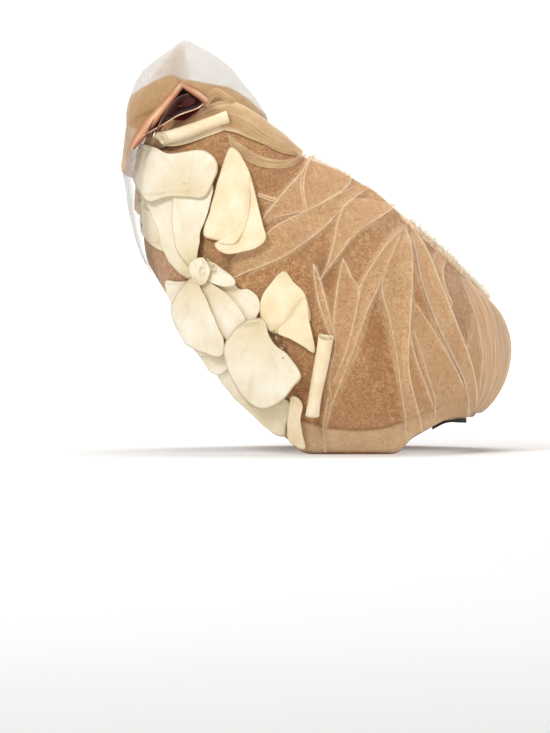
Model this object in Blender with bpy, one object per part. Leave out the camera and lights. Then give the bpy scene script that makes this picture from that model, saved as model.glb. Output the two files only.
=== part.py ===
"""Halo hat: a ring of felt draped in fine tulle, with two silk flowers, leaves and a satin bow.

Lengths in this file are millimetres and become metres where a mesh is made. The front of the hat
is at -X, its decorated side is at -Y, and it stands on the two side lobes of its felt at Z = 0.
"""

import math
from collections import namedtuple

import bmesh
import bpy
import numpy as np

MM = 0.001
# Moves the tables' zero to the middle of the hat's footprint.
FOOTPRINT_SHIFT = (-0.8, 3.0, 0.0)

FELT_THICK = 2.2
CUFF_THICK = 5.0
# The cuff thins to the plain felt about this share of the height above the lower edge.
CUFF_TOP = 0.10
CUFF_START = 0.06
TULLE_THICK = 1.1
TULLE_GAP = 0.5
PETAL_THICK = 1.0
# Petals start this high above the felt, and each layer lies this far above the last.
PETAL_FLOOR = TULLE_GAP + TULLE_THICK + 0.6
PETAL_PITCH = 1.7
GATHER_FLOOR = 0.9
GATHER_THICK = 8.0
GATHER_RIDGE = 1.6
GATHER_COLUMNS = 14
# Where the gather starts on the upper and lower edges, as a share of the way from the front.
GATHER_TOP = 0.82
GATHER_LOW = 0.87
# The drape ends this share of the way from its last fold to the gather.
GATHER_SEAM = 0.92
# The gather thins to its ends within this part of its half width, and is held in at its edges.
GATHER_TAPER = 0.25
GATHER_HEM_LOW = 0.08
GATHER_HEM_TOP = 0.95
BINDING_RADIUS = 2.0
BINDING_START = 0.56
BINDING_STATIONS = 30
BINDING_SIDES = 6
POUF_THICK = 1.0
POUF_SIDES = 30
VEIL_THICK = 1.0
SATIN_THICK = 1.0
BAND_THICK = 1.2
BAND_DROP = 4.0
BAND_RISE = 8.0
BAND_GAP = 0.3
BAND_START = 0.76
BAND_STATIONS = 20
REST_SNAP = 2.5

# Sections of the felt ring from the front centre round one side to the back centre:
# its lower edge, the middle of its wall and its upper edge, each as x, z and half width.
Section = namedtuple("Section", "low_x low_z low_y mid_x mid_z mid_y top_x top_z top_y")
SECTIONS = (
    Section(-115, 129, 0, -120, 176, 0, -111, 221, 0),
    Section(-104, 112, 36, -111, 166, 44, -100, 231, 28),
    Section(-84, 80, 63, -86, 148, 78, -76, 238, 43),
    Section(-57, 43, 80, -58, 128, 99, -46, 229, 52),
    Section(-23, 12, 88, -24, 109, 111, -13, 206, 59),
    Section(9, 0, 92, 10, 97, 116, 17, 193, 64),
    Section(44, 0, 92, 42, 91, 114, 44, 176, 67),
    Section(71, 13, 86, 70, 87, 105, 67, 152, 66),
    Section(93, 24, 67, 98, 79, 83, 90, 132, 57),
    Section(106, 24, 36, 120, 71, 48, 108, 113, 36),
    Section(111, 23, 0, 126, 67, 0, 116, 104, 0),
)
HALF = len(SECTIONS) - 1
# The step in u and v with which the felt's slopes are taken.
STEP = 1e-3
# The shares of the felt's height at which its wall has a row of points.
ROWS = (0.0, 0.035, 0.10, 0.22, 0.35, 0.5, 0.65, 0.79, 0.91, 1.0)

# Plain columns under the flowers, by the x of their upper and lower ends.
Column = namedtuple("Column", "top_x low_x")
FRONT_COLUMNS = (
    Column(-107, -110),
    Column(-99, -103),
    Column(-88, -93),
    Column(-77, -82),
    Column(-65, -71),
    Column(-52, -60),
    Column(-38, -49),
    Column(-24, -40),
)

# Folds of the tulle, front to back: the x of their ends, how far they stand up, and
# the stretch of the wall's height over which they do.
Fold = namedtuple("Fold", "name top_x low_x rise start end")
FOLDS = (
    Fold("swag_1", -9, -31, 2.6, 0.60, 0.98),
    Fold("swag_2", 9, -21, 3.2, 0.56, 0.98),
    Fold("swag_3", 24, -11, 3.6, 0.54, 0.98),
    Fold("swag_4", 39, 0, 3.6, 0.46, 0.98),
    Fold("fan_1", 52, 14, 3.4, 0.06, 0.96),
    Fold("fan_2", 58, 29, 4.0, 0.06, 0.96),
    Fold("fan_3", 62, 44, 4.0, 0.06, 0.96),
    Fold("fan_4", 66, 58, 4.4, 0.06, 0.96),
    Fold("fan_5", 70, 71, 4.4, 0.06, 0.96),
    Fold("fan_6", 75, 84, 3.8, 0.06, 0.96),
    Fold("fan_7", 81, 94, 3.2, 0.06, 0.96),
)
# Where the valley between two folds lies, and how full a fold is along its length.
FOLD_VALLEY = 0.45
FOLD_FULLNESS = 0.6
BACK_COLUMNS = 7

# Levels of the pouf: height, its front and back, and its half width.
Level = namedtuple("Level", "z front back half")
POUF_LEVELS = (
    Level(214, -130, -29, 52),
    Level(226, -133, -32, 49),
    Level(236, -133, -35, 44),
    Level(245, -131, -41, 40),
    Level(256, -127, -52, 33),
    Level(266, -121, -60, 25),
    Level(276, -109, -71, 15),
    Level(283, -100, -82, 7),
    Level(287, -95, -89, 2),
)
# The pouf's lower edge sits on the felt's rim as far back as this x, then crosses the crown.
POUF_BACK = -37.0
POUF_CROSS = -33.5
POUF_SEAT = 1.9
POUF_SET_IN = 0.6
POUF_PEAK = 0.6
POUF_RISES = (0.04, 0.16, 0.32, 0.50, 0.68, 0.84, 0.94)

# The swag that crosses the front under the bow: its middle line as it is seen from the
# decorated side, its half height and how far its middle lies above the felt.
Swag = namedtuple("Swag", "x z half lift")
SWAG = (
    Swag(-119.5, 207, 3.5, 5.7),
    Swag(-112, 212, 3.5, 5.7),
    Swag(-99, 220, 3.5, 5.7),
    Swag(-82, 229, 4, 5.7),
    Swag(-66, 235, 5, 5.7),
    Swag(-54, 229, 8, 5.7),
    Swag(-39, 219, 7, 7.0),
    Swag(-24, 209, 4, 8.2),
)
SWAG_DEPTH = 2.6
SWAG_SIDES = 8
SWAG_STATIONS = 13

# The veil in front of the flowers: its share of the felt's height and its height above the felt.
Veil = namedtuple("Veil", "v lift")
VEIL = (
    Veil(0.03, 3.4),
    Veil(0.13, 6.6),
    Veil(0.28, 8.6),
    Veil(0.46, 12.0),
    Veil(0.60, 14.5),
    Veil(0.70, 18.0),
    Veil(0.80, 17.5),
    Veil(0.92, 17.0),
)
VEIL_REACH = 0.095
VEIL_COLUMNS = 8

# Petals on the decorated side, seen from that side: their middle line from base to tip with the
# half widths along it, the layer that each lies in, and how far its edges lift.
Petal = namedtuple("Petal", "name base middle tip widths layer cup")
PETALS = (
    Petal("upper_flower_petal_1", (-114, 195), (-94, 190), (-66, 189), (9, 13, 15, 15, 9), 3, 2.0),
    Petal("upper_flower_petal_2", (-81, 173), (-84, 152), (-80, 128), (10, 10, 9, 7, 3), 2, 1.6),
    Petal("upper_flower_petal_3", (-104, 172), (-98, 145), (-84, 121), (7, 8, 8, 6, 3), 1, 1.2),
    Petal("upper_flower_petal_4", (-115, 172), (-110, 158), (-102, 143), (4, 6, 6, 5, 2), 0, 0.4),
    Petal("upper_flower_petal_5", (-113, 203), (-114, 191), (-113, 178), (3, 3, 3, 3, 2), 0, 0.4),
    Petal("lower_flower_petal_1", (-79, 119), (-78, 95), (-62, 70), (6, 12, 13, 10, 4), 2, 2.0),
    Petal("lower_flower_petal_2", (-74, 118), (-61, 107), (-49, 91), (3, 7, 7, 7, 5), 1, 0.5),
    Petal("lower_flower_petal_3", (-61, 119), (-50, 111), (-40, 99), (4, 7, 8, 7, 5), 0, 0.6),
    Petal("lower_flower_petal_4", (-42, 92), (-36, 63), (-27, 34), (7, 17, 22, 19, 9), 2, 2.4),
    Petal("lower_flower_petal_5", (-91, 120), (-95, 110), (-95, 98), (6, 8, 7, 5, 2), 0, 0.8),
    Petal("lower_flower_petal_6", (-64, 66), (-43, 42), (-20, 22), (5, 8, 9, 9, 6), 0, 0.3),
    Petal("lower_flower_petal_7", (-78, 77), (-71, 70), (-63, 64), (3, 5, 5, 4, 2), 1, 0.8),
    Petal("pointed_leaf", (-55, 207), (-54, 177), (-56, 148), (3, 10, 15, 18, 19), 1, 1.6),
    Petal("folded_leaf_back", (-21, 124), (-15, 100), (-12, 84), (3, 12, 17, 16, 10), 0, 1.0),
    Petal("folded_leaf_front", (-7, 106), (-12, 92), (-13, 78), (2, 7, 12, 13, 12), 1, 1.0),
    Petal("edge_leaf", (-15, 41), (-14, 26), (-13, 9), (4, 4, 5, 5, 4), 1, 1.0),
)
PETAL_LONG = 5
PETAL_WIDE = 5
# How much of a petal's lift is at its sides, and how much at its tip.
CUP_SIDES = 0.6
CUP_TIP = 0.4

# Leaves rolled into a scroll: the ends of the roll, its radius, the direction in which its
# free edge runs off, how long that flap is, and its layer.
Scroll = namedtuple("Scroll", "name start end radius toward flap layer")
SCROLLS = (
    Scroll("rolled_leaf_upper", (-98, 211), (-62, 225), 4.2, (0, -1), 9, 0),
    Scroll("rolled_leaf_lower", (6, 80), (-1, 31), 4.4, (-1, 0), 6, 0),
)
SCROLL_TURN = 1.25 * 2 * math.pi
SCROLL_TIGHTEN = 0.5
SCROLL_STEPS = 12
SCROLL_LONG = 4

# Knots of curled silk at the heart of each flower.
Heart = namedtuple("Heart", "name x z radius layer")
HEARTS = (
    Heart("upper_flower_heart", -70, 127, 6.5, 0),
    Heart("lower_flower_heart", -18, 73, 3.2, 0),
)
# Rings of a heart from its back to its top: the share of its radius, and the height.
HEART_RINGS = ((0.9, -0.3), (1.0, 1.2), (0.8, 2.8), (0.4, 3.6))
HEART_SIDES = 10

# The mouth of the bow's loop, seen from the decorated side, and the knot it narrows to.
Mouth = namedtuple("Mouth", "x y z")
BOW_MOUTH = (
    Mouth(-127, -47, 216),
    Mouth(-110, -54, 236),
    Mouth(-94, -62, 257),
    Mouth(-76, -62, 247),
    Mouth(-80, -60.5, 239),
    Mouth(-95, -60, 233),
    Mouth(-118, -50, 220),
)
BOW_KNOT = Mouth(-98, -42.4, 238)
# The loop's size at the knot, as a share of its mouth.
BOW_NARROW = 0.6
BOW_FOLD_DEPTH = 4.0
BOW_FOLD_WALL = (0.7, 0.0, -0.7)
BOW_FOLD_STEPS = 5
BOW_FOLD = (
    Mouth(-85.5, -59.6, 248.4),
    Mouth(-97.1, -57, 241.7),
    Mouth(-105.1, -54, 232.7),
)

FELT = ("felt_tan", (0.58, 0.40, 0.25), 0.95)
TULLE = ("tulle_tan", (0.72, 0.56, 0.40), 0.8)
SILK = ("silk_cream", (0.86, 0.80, 0.66), 0.6)
LEAF = ("leaf_butter", (0.88, 0.76, 0.53), 0.6)
SATIN = ("satin_copper", (0.65, 0.28, 0.16), 0.3)
BLACK = ("band_black", (0.02, 0.02, 0.02), 0.7)


def clear_scene():
    for item in list(bpy.data.objects):
        bpy.data.objects.remove(item, do_unlink=True)


def material(finish):
    name, colour, roughness = finish
    made = bpy.data.materials.get(name) or bpy.data.materials.new(name)
    made.use_nodes = True
    shader = made.node_tree.nodes["Principled BSDF"]
    shader.inputs["Base Color"].default_value = (*colour, 1.0)
    shader.inputs["Roughness"].default_value = roughness
    return made


def make_object(name, points, faces, finish):
    """One closed body from points in millimetres."""
    mesh = bpy.data.meshes.new(name)
    placed = [[(c + move) * MM for c, move in zip(p, FOOTPRINT_SHIFT)] for p in points]
    mesh.from_pydata(placed, [], faces)
    work = bmesh.new()
    work.from_mesh(mesh)
    bmesh.ops.triangulate(work, faces=work.faces, quad_method="FIXED")
    bmesh.ops.recalc_face_normals(work, faces=work.faces)
    work.to_mesh(mesh)
    work.free()
    mesh.materials.append(material(finish))
    made = bpy.data.objects.new(name, mesh)
    bpy.context.scene.collection.objects.link(made)
    return made


def blend(a, b, t):
    return a + (b - a) * t


def smooth(t):
    t = min(max(t, 0.0), 1.0)
    return t * t * (3 - 2 * t)


def catmull(rows, t):
    """A smooth curve through rows of numbers, at t counted in rows."""
    last = len(rows) - 1
    i = min(int(t), last - 1)
    f = t - i
    p0, p1, p2, p3 = (
        np.array(rows[min(max(k, 0), last)], float) for k in (i - 1, i, i + 1, i + 2)
    )
    return 0.5 * (
        2 * p1
        + (p2 - p0) * f
        + (2 * p0 - 5 * p1 + 4 * p2 - p3) * f**2
        + (3 * p1 - p0 - 3 * p2 + p3) * f**3
    )


def closed_ring():
    """The felt's sections all the way round, as lower, middle and upper points."""
    side = [
        [[s.low_x, -s.low_y, s.low_z], [s.mid_x, -s.mid_y, s.mid_z], [s.top_x, -s.top_y, s.top_z]]
        for s in SECTIONS
    ]
    far = [[[x, -y, z] for x, y, z in row] for row in side[-2:0:-1]]
    return np.array(side + far, float)


RING = closed_ring()


def felt_point(u, v):
    """The felt's outer face: u runs 0 to 1 from front to back on the decorated side and 0 to
    -1 on the other, v from the lower edge to the upper."""
    t = (u * HALF) % len(RING)
    i = int(t)
    f = t - i
    p0, p1, p2, p3 = (RING[k % len(RING)] for k in (i - 1, i, i + 1, i + 2))
    low, mid, top = 0.5 * (
        2 * p1
        + (p2 - p0) * f
        + (2 * p0 - 5 * p1 + 4 * p2 - p3) * f**2
        + (3 * p1 - p0 - 3 * p2 + p3) * f**3
    )
    return low * (1 - v) * (1 - 2 * v) + mid * 4 * v * (1 - v) + top * v * (2 * v - 1)


def felt_normal(u, v):
    along = felt_point(u + STEP, v) - felt_point(u - STEP, v)
    up = felt_point(u, v + STEP) - felt_point(u, v - STEP)
    out = np.cross(along, up)
    return out / np.linalg.norm(out)


def felt_rise(u, v):
    """The direction up along the felt's outer face."""
    up = felt_point(u, v) - felt_point(u, v - STEP)
    return up / np.linalg.norm(up)


def raised(u, v, height):
    """A point this high above the felt's outer face."""
    return felt_point(u, v) + felt_normal(u, v) * height


def u_of_x(x, v):
    """Where along the decorated side the felt's edge at v has this x."""
    tries = np.linspace(0.0, 1.0, 201)
    return float(np.interp(x, [felt_point(u, v)[0] for u in tries], tries))


TRIES = [(u, v) for u in np.linspace(0.0, 1.0, 41) for v in np.linspace(0.0, 1.1, 19)]
TRY_POINTS = np.array([felt_point(u, v)[[0, 2]] for u, v in TRIES])


def locate(x, z):
    """The u and v of the decorated side's point that is seen at x, z from that side."""
    near = int(np.argmin(np.hypot(*(TRY_POINTS - (x, z)).T)))
    spot = np.array(TRIES[near])
    for _ in range(8):
        here = felt_point(*spot)[[0, 2]]
        du = (felt_point(spot[0] + STEP, spot[1])[[0, 2]] - here) / STEP
        dv = (felt_point(spot[0], spot[1] + STEP)[[0, 2]] - here) / STEP
        move = np.linalg.lstsq(np.array([du, dv]).T, np.array([x, z]) - here, rcond=1e-2)[0]
        spot = np.clip(spot + np.clip(move, -0.05, 0.05), (-0.02, 0.0), (1.0, 1.1))
    return spot


def fold_columns():
    """The columns of one side, front to back, as the u of their ends and the fold they carry."""
    columns = [(0.0, 0.0, None)]
    columns += [(u_of_x(c.top_x, 1.0), u_of_x(c.low_x, 0.0), None) for c in FRONT_COLUMNS]
    for fold in FOLDS:
        top, low = u_of_x(fold.top_x, 1.0), u_of_x(fold.low_x, 0.0)
        last_top, last_low, _ = columns[-1]
        valley_top = blend(last_top, top, FOLD_VALLEY)
        valley_low = blend(last_low, low, FOLD_VALLEY)
        columns.append((valley_top, valley_low, None))
        columns.append((top, low, fold))
    last_top, last_low, _ = columns[-1]
    seam_top = blend(last_top, GATHER_TOP, GATHER_SEAM)
    seam_low = blend(last_low, GATHER_LOW, GATHER_SEAM)
    columns.append((seam_top, seam_low, None))
    for k in range(BACK_COLUMNS + 1):
        share = k / BACK_COLUMNS
        columns.append((blend(GATHER_TOP, 1.0, share), blend(GATHER_LOW, 1.0, share), None))
    return columns


def rise_of(fold, v):
    """How far a fold stands up at v."""
    if fold is None or not fold.start < v < fold.end:
        return 0.0
    share = (v - fold.start) / (fold.end - fold.start)
    return fold.rise * math.sin(math.pi * share) ** FOLD_FULLNESS


def wall(outer, inner, closed):
    """Points and faces of a sheet between two grids of points, closed round or with end faces."""
    columns, rows = len(outer), len(outer[0])
    points = [p for column in outer for p in column] + [p for column in inner for p in column]
    half = columns * rows

    def at(side, i, j):
        return side * half + (i % columns) * rows + j

    faces = []
    for i in range(columns if closed else columns - 1):
        for j in range(rows - 1):
            for side in (0, 1):
                corner, opposite = at(side, i, j), at(side, i + 1, j + 1)
                faces.append((corner, at(side, i + 1, j), opposite))
                faces.append((corner, opposite, at(side, i, j + 1)))
        for j in (0, rows - 1):
            faces.append((at(0, i, j), at(0, i + 1, j), at(1, i + 1, j), at(1, i, j)))
    if not closed:
        for i in (0, columns - 1):
            for j in range(rows - 1):
                faces.append((at(0, i, j), at(0, i, j + 1), at(1, i, j + 1), at(1, i, j)))
    return points, faces


def both_sides(columns):
    """Columns of the decorated side followed by their mirror images, all the way round."""
    return columns + [(-top, -low, fold) for top, low, fold in columns[-2:0:-1]]


def settled(point, rim_z):
    """A point of the lower edge, level with the rim, and flat where the hat rests."""
    return np.array([point[0], point[1], 0.0 if rim_z < REST_SNAP else rim_z])


def felt_base():
    outer, inner = [], []
    for top, low, _ in both_sides(fold_columns()):
        out_column, in_column = [], []
        for v in ROWS:
            u = blend(low, top, v)
            thick = blend(CUFF_THICK, FELT_THICK, smooth((v - CUFF_START) / CUFF_TOP))
            out_point, in_point = felt_point(u, v), raised(u, v, -thick)
            if v == 0.0:
                rim_z = out_point[2]
                out_point, in_point = settled(out_point, rim_z), settled(in_point, rim_z)
            out_column.append(out_point)
            in_column.append(in_point)
        outer.append(out_column)
        inner.append(in_column)
    return make_object("felt_base", *wall(outer, inner, True), FELT)


def tulle_drape():
    """The tulle over the felt, folded in a fan, from one side of the back gather to the other."""
    side = fold_columns()[: -BACK_COLUMNS - 1]
    columns = [(-top, -low, fold) for top, low, fold in side[:0:-1]] + side
    outer, inner = [], []
    for top, low, fold in columns:
        out_column, in_column = [], []
        for v in ROWS[1:]:
            u = blend(low, top, v)
            rise = rise_of(fold, v)
            out_column.append(raised(u, v, TULLE_GAP + TULLE_THICK + rise))
            in_column.append(raised(u, v, TULLE_GAP + rise))
        outer.append(out_column)
        inner.append(in_column)
    return make_object("tulle_drape", *wall(outer, inner, False), TULLE)


def back_gather():
    """Tulle wound and gathered round the back, in streaks from edge to edge."""
    outer, inner = [], []
    for k in range(-GATHER_COLUMNS, GATHER_COLUMNS + 1):
        share = k / GATHER_COLUMNS
        ridge = GATHER_RIDGE * (k % 2)
        edge = smooth((1 - abs(share)) / GATHER_TAPER)
        out_column, in_column = [], []
        for v in ROWS[1:]:
            u = 1.0 + share * (1.0 - blend(GATHER_LOW, GATHER_TOP, v))
            swell = math.sqrt(math.sin(math.pi * min(max(v, GATHER_HEM_LOW), GATHER_HEM_TOP)))
            thick = TULLE_THICK + (GATHER_THICK + ridge) * edge * swell
            out_column.append(raised(u, v, GATHER_FLOOR + thick))
            in_column.append(raised(u, v, GATHER_FLOOR))
        outer.append(out_column)
        inner.append(in_column)
    return make_object("tulle_back_gather", *wall(outer, inner, False), TULLE)


def tube(rings):
    """Points and side faces of equal rings of points joined one to the next."""
    sides = len(rings[0])
    points = [p for ring in rings for p in ring]
    faces = []
    for i in range(len(rings) - 1):
        here, there = i * sides, (i + 1) * sides
        for k in range(sides):
            nxt = (k + 1) % sides
            faces.append((here + k, here + nxt, there + nxt, there + k))
    return points, faces


def sweep(name, centres, rings, finish):
    """A closed body from equal rings of points, with a cap at each end."""
    sides = len(rings[0])
    points, faces = tube(rings)
    first = len(points)
    points += [centres[0], centres[-1]]
    last_ring = (len(rings) - 1) * sides
    for k in range(sides):
        nxt = (k + 1) % sides
        faces.append((first, nxt, k))
        faces.append((first + 1, last_ring + k, last_ring + nxt))
    return make_object(name, points, faces, finish)


def rim_binding():
    """The rolled edge round the back of the open crown."""
    angles = [2 * math.pi * k / BINDING_SIDES for k in range(BINDING_SIDES)]
    centres, rings = [], []
    for i in range(BINDING_STATIONS + 1):
        u = blend(BINDING_START, 2.0 - BINDING_START, i / BINDING_STATIONS)
        out, up = felt_normal(u, 1.0), felt_rise(u, 1.0)
        centre = felt_point(u, 1.0) - out * FELT_THICK / 2 + up * (BINDING_RADIUS + TULLE_GAP)
        centres.append(centre)
        rings.append(
            [centre + BINDING_RADIUS * (out * math.cos(a) + up * math.sin(a)) for a in angles]
        )
    return sweep("crown_rim_binding", centres, rings, TULLE)


def pouf_base(a):
    """The pouf's lower edge at angle a: on the felt's rim, then straight across the crown."""
    front = float(felt_point(0.0, 1.0)[0])
    middle, reach = (front + POUF_CROSS) / 2, (front - POUF_CROSS) / 2
    side = -1.0 if a <= math.pi else 1.0
    x = middle + reach * math.cos(a)
    u = u_of_x(min(x, POUF_BACK), 1.0)
    rim = felt_point(u, 1.0) - felt_normal(u, 1.0) * POUF_SET_IN
    across = 1.0
    if x > POUF_BACK:
        turned = math.acos((x - middle) / reach)
        edge = math.acos((POUF_BACK - middle) / reach)
        across = (math.pi - turned) / (math.pi - edge)
        rim[0] = x
    return np.array([rim[0], side * abs(rim[1]) * across, rim[2] + POUF_SEAT])


def pouf_ring(rise):
    """One ring of the pouf, this share of the way from its lower edge to its tip."""
    ring = []
    heights = [level.z for level in POUF_LEVELS]
    for k in range(POUF_SIDES):
        a = 2 * math.pi * k / POUF_SIDES
        base = pouf_base(a)
        if rise == 0.0:
            ring.append(base)
            continue
        z = blend(base[2], heights[-1], rise)
        front, back, half = (
            float(np.interp(z, heights, [getattr(level, side) for level in POUF_LEVELS]))
            for side in ("front", "back", "half")
        )
        x = (front + back) / 2 - (back - front) / 2 * math.cos(a)
        ring.append(np.array([x, -half * math.sin(a), z]))
    return ring


def inner_rings(rings, thick):
    """The rings moved inward, square to the surface that they make."""
    inner = []
    sides = len(rings[0])
    for i, ring in enumerate(rings):
        below, above = rings[max(i - 1, 0)], rings[min(i + 1, len(rings) - 1)]
        moved = []
        for k in range(sides):
            around = ring[(k + 1) % sides] - ring[k - 1]
            out = np.cross(around, above[k] - below[k])
            moved.append(ring[k] - out / np.linalg.norm(out) * thick)
        inner.append(moved)
    return inner


def tulle_pouf():
    """The standing puff of tulle above the front, hollow and open below."""
    outer = [pouf_ring(rise) for rise in (0.0, *POUF_RISES, 1.0)]
    inner = inner_rings(outer, POUF_THICK)[:-1]
    points = [p for ring in outer + inner for p in ring]
    faces = []

    def stitch(first, second):
        for k in range(POUF_SIDES):
            nxt = (k + 1) % POUF_SIDES
            faces.append((first + k, first + nxt, second + nxt))
            faces.append((first + k, second + nxt, second + k))

    for i in range(len(outer) - 1):
        stitch(i * POUF_SIDES, (i + 1) * POUF_SIDES)
    start = len(outer) * POUF_SIDES
    for i in range(len(inner) - 1):
        stitch(start + i * POUF_SIDES, start + (i + 1) * POUF_SIDES)
    stitch(0, start)
    for last in (start - POUF_SIDES, start + (len(inner) - 1) * POUF_SIDES):
        points.append(sum(points[last : last + POUF_SIDES]) / POUF_SIDES + (0.0, 0.0, POUF_PEAK))
        for k in range(POUF_SIDES):
            faces.append((last + k, last + (k + 1) % POUF_SIDES, len(points) - 1))
    return make_object("tulle_pouf", points, faces, TULLE)


def tulle_swag():
    """A soft roll of tulle from one side over the front to the other, under the bow."""
    angles = [2 * math.pi * k / SWAG_SIDES for k in range(SWAG_SIDES)]
    line = [(*locate(row.x, row.z), row.half, row.lift) for row in SWAG]
    line[0] = (0.0, *line[0][1:])
    centres, rings = [], []
    for i in range(-SWAG_STATIONS, SWAG_STATIONS + 1):
        u, v, half, lift = catmull(line, abs(i) / SWAG_STATIONS * (len(line) - 1))
        u = math.copysign(u, -i)
        out, up = felt_normal(u, v), felt_rise(u, v)
        centre = raised(u, v, lift)
        centres.append(centre)
        rings.append(
            [centre + SWAG_DEPTH * out * math.cos(a) + half * up * math.sin(a) for a in angles]
        )
    return sweep("tulle_swag", centres, rings, TULLE)


def front_veil():
    """A single layer of tulle in front of the flowers."""
    outer, inner = [], []
    for k in range(VEIL_COLUMNS + 1):
        u = blend(-VEIL_REACH, VEIL_REACH, k / VEIL_COLUMNS)
        outer.append([raised(u, row.v, row.lift) for row in VEIL])
        inner.append([raised(u, row.v, row.lift - VEIL_THICK) for row in VEIL])
    return make_object("front_veil", *wall(outer, inner, False), TULLE)


def petal_frame(petal, t):
    """A point on a petal's middle line, the direction across it, and its half width there."""
    base, middle, tip = (np.array(p, float) for p in (petal.base, petal.middle, petal.tip))
    control = 2 * middle - (base + tip) / 2
    spot = base * (1 - t) ** 2 + control * 2 * t * (1 - t) + tip * t**2
    run = (control - base) * (1 - t) + (tip - control) * t
    across = np.array([-run[1], run[0]]) / np.linalg.norm(run)
    width = catmull([(w,) for w in petal.widths], t * (len(petal.widths) - 1))[0]
    return spot, across, float(width)


def petal(row):
    """A thin dished sheet that lies over the drape, on the layers below it."""
    outer, inner = [], []
    floor = PETAL_FLOOR + row.layer * PETAL_PITCH
    for i in range(PETAL_LONG + 1):
        t = i / PETAL_LONG
        spot, across, width = petal_frame(row, t)
        out_column, in_column = [], []
        for j in range(PETAL_WIDE + 1):
            s = 2 * j / PETAL_WIDE - 1
            x, z = spot + across * width * s
            u, v = locate(x, z)
            lift = row.cup * (s * s * CUP_SIDES + t * t * CUP_TIP)
            out_column.append(raised(u, v, floor + PETAL_THICK + lift))
            in_column.append(raised(u, v, floor + lift))
        outer.append(out_column)
        inner.append(in_column)
    finish = LEAF if "leaf" in row.name else SILK
    return make_object(row.name, *wall(outer, inner, False), finish)


def scroll(row):
    """A leaf wound up into an open spiral, with its free edge as a flap."""
    start, end = np.array(row.start, float), np.array(row.end, float)
    base = PETAL_FLOOR + row.layer * PETAL_PITCH
    rings = []
    for i in range(SCROLL_LONG + 1):
        x, z = blend(start, end, i / SCROLL_LONG)
        u, v = locate(x, z)
        out = felt_normal(u, v)
        run = np.array([end[0] - start[0], 0.0, end[1] - start[1]])
        run -= out * run.dot(out)
        down = np.cross(run, out)
        down /= np.linalg.norm(down)
        if down[0] * row.toward[0] + down[2] * row.toward[1] < 0:
            down = -down
        centre = raised(u, v, base + row.radius)
        skin = [[], []]
        for k in range(SCROLL_STEPS + 1):
            turn = SCROLL_TURN * k / SCROLL_STEPS
            radius = row.radius * (1 - SCROLL_TIGHTEN * k / SCROLL_STEPS)
            for side, r in enumerate((radius, radius - PETAL_THICK)):
                skin[side].append(centre - r * (out * math.cos(turn) + down * math.sin(turn)))
        flap = centre - out * (row.radius - PETAL_THICK / 2) + down * row.flap
        skin[0].insert(0, flap - out * PETAL_THICK / 2)
        skin[1].insert(0, flap + out * PETAL_THICK / 2)
        rings.append(skin[0] + skin[1][::-1])
    points, faces = tube(rings)
    sides = len(rings[0])
    for first in (0, len(points) - sides):
        for k in range(sides // 2 - 1):
            last = first + sides - 1 - k
            faces.append((first + k, first + k + 1, last - 1, last))
    return make_object(row.name, points, faces, LEAF)


def flower_heart(row):
    """A small domed knot of curled silk."""
    u, v = locate(row.x, row.z)
    floor = raised(u, v, PETAL_FLOOR + row.layer * PETAL_PITCH)
    out = felt_normal(u, v)
    side = np.cross(out, (0, 0, 1))
    side /= np.linalg.norm(side)
    up = np.cross(side, out)
    angles = [2 * math.pi * k / HEART_SIDES for k in range(HEART_SIDES)]
    centres, rings = [], []
    for share, height in HEART_RINGS:
        centre = floor + out * height
        centres.append(centre)
        rings.append(
            [
                centre + row.radius * share * (side * math.cos(a) + up * math.sin(a))
                for a in angles
            ]
        )
    return sweep(row.name, centres, rings, SILK)


def mitre(before, corner, after, turn):
    """The step from a corner of the mouth to the corner of a wall this thick inside it."""
    first = (corner - before) * (1, 0, 1)
    second = (after - corner) * (1, 0, 1)
    first /= np.linalg.norm(first)
    second /= np.linalg.norm(second)
    square = np.array([first[2] + second[2], 0.0, -first[0] - second[0]]) * turn
    return square * SATIN_THICK / (1.0 + first @ second)


def bow_loop(name, flip):
    """A loop of satin with a three-cornered mouth, narrowing to the knot. The far one is flipped."""
    knot = np.array(BOW_KNOT, float) * (1, flip, 1)
    mouth = [np.array(p, float) * (1, flip, 1) for p in BOW_MOUTH[::flip]]
    centre = sum(mouth) / len(mouth)
    outer, inner = [], []
    for i, p in enumerate(mouth):
        inward = mitre(mouth[i - 1], p, mouth[(i + 1) % len(mouth)], flip)
        out_column, in_column = [], []
        for share in (0.0, 0.5, 1.0):
            depth = blend(1.0, BOW_NARROW, share)
            at = knot + (p - centre) * (depth, depth, depth)
            at[1] = blend(p[1], knot[1], share)
            at[0] += (centre[0] - knot[0]) * (1 - share)
            at[2] += (centre[2] - knot[2]) * (1 - share)
            out_column.append(at)
            in_column.append(at + inward)
        outer.append(out_column)
        inner.append(in_column)
    return make_object(name, *wall(outer, inner, True), SATIN)


def bow_fold():
    """The curved edge of satin inside the mouth of the near loop."""
    outer, inner = [], []
    for i in range(BOW_FOLD_STEPS + 1):
        spot = catmull(BOW_FOLD, i / BOW_FOLD_STEPS * (len(BOW_FOLD) - 1))
        edges = [spot, spot + (0, BOW_FOLD_DEPTH, 0)]
        outer.append(edges)
        inner.append([p + BOW_FOLD_WALL for p in edges])
    return make_object("satin_bow_fold", *wall(outer, inner, False), SATIN)


def inner_band():
    """The black band inside the back of the lower edge."""
    outer, inner = [], []
    for i in range(BAND_STATIONS + 1):
        u = blend(BAND_START, 2.0 - BAND_START, i / BAND_STATIONS)
        rim, out = felt_point(u, 0.0), felt_normal(u, 0.0)
        flat = np.array([out[0], out[1], 0.0]) / math.hypot(out[0], out[1])
        face = rim - flat * (CUFF_THICK + BAND_GAP)
        levels = (rim[2] - BAND_DROP, rim[2] + BAND_RISE)
        outer.append([np.array([face[0], face[1], z]) for z in levels])
        inner.append(
            [np.array([*(face[:2] - flat[:2] * BAND_THICK), z]) for z in levels]
        )
    return make_object("inner_band", *wall(outer, inner, False), BLACK)


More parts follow.
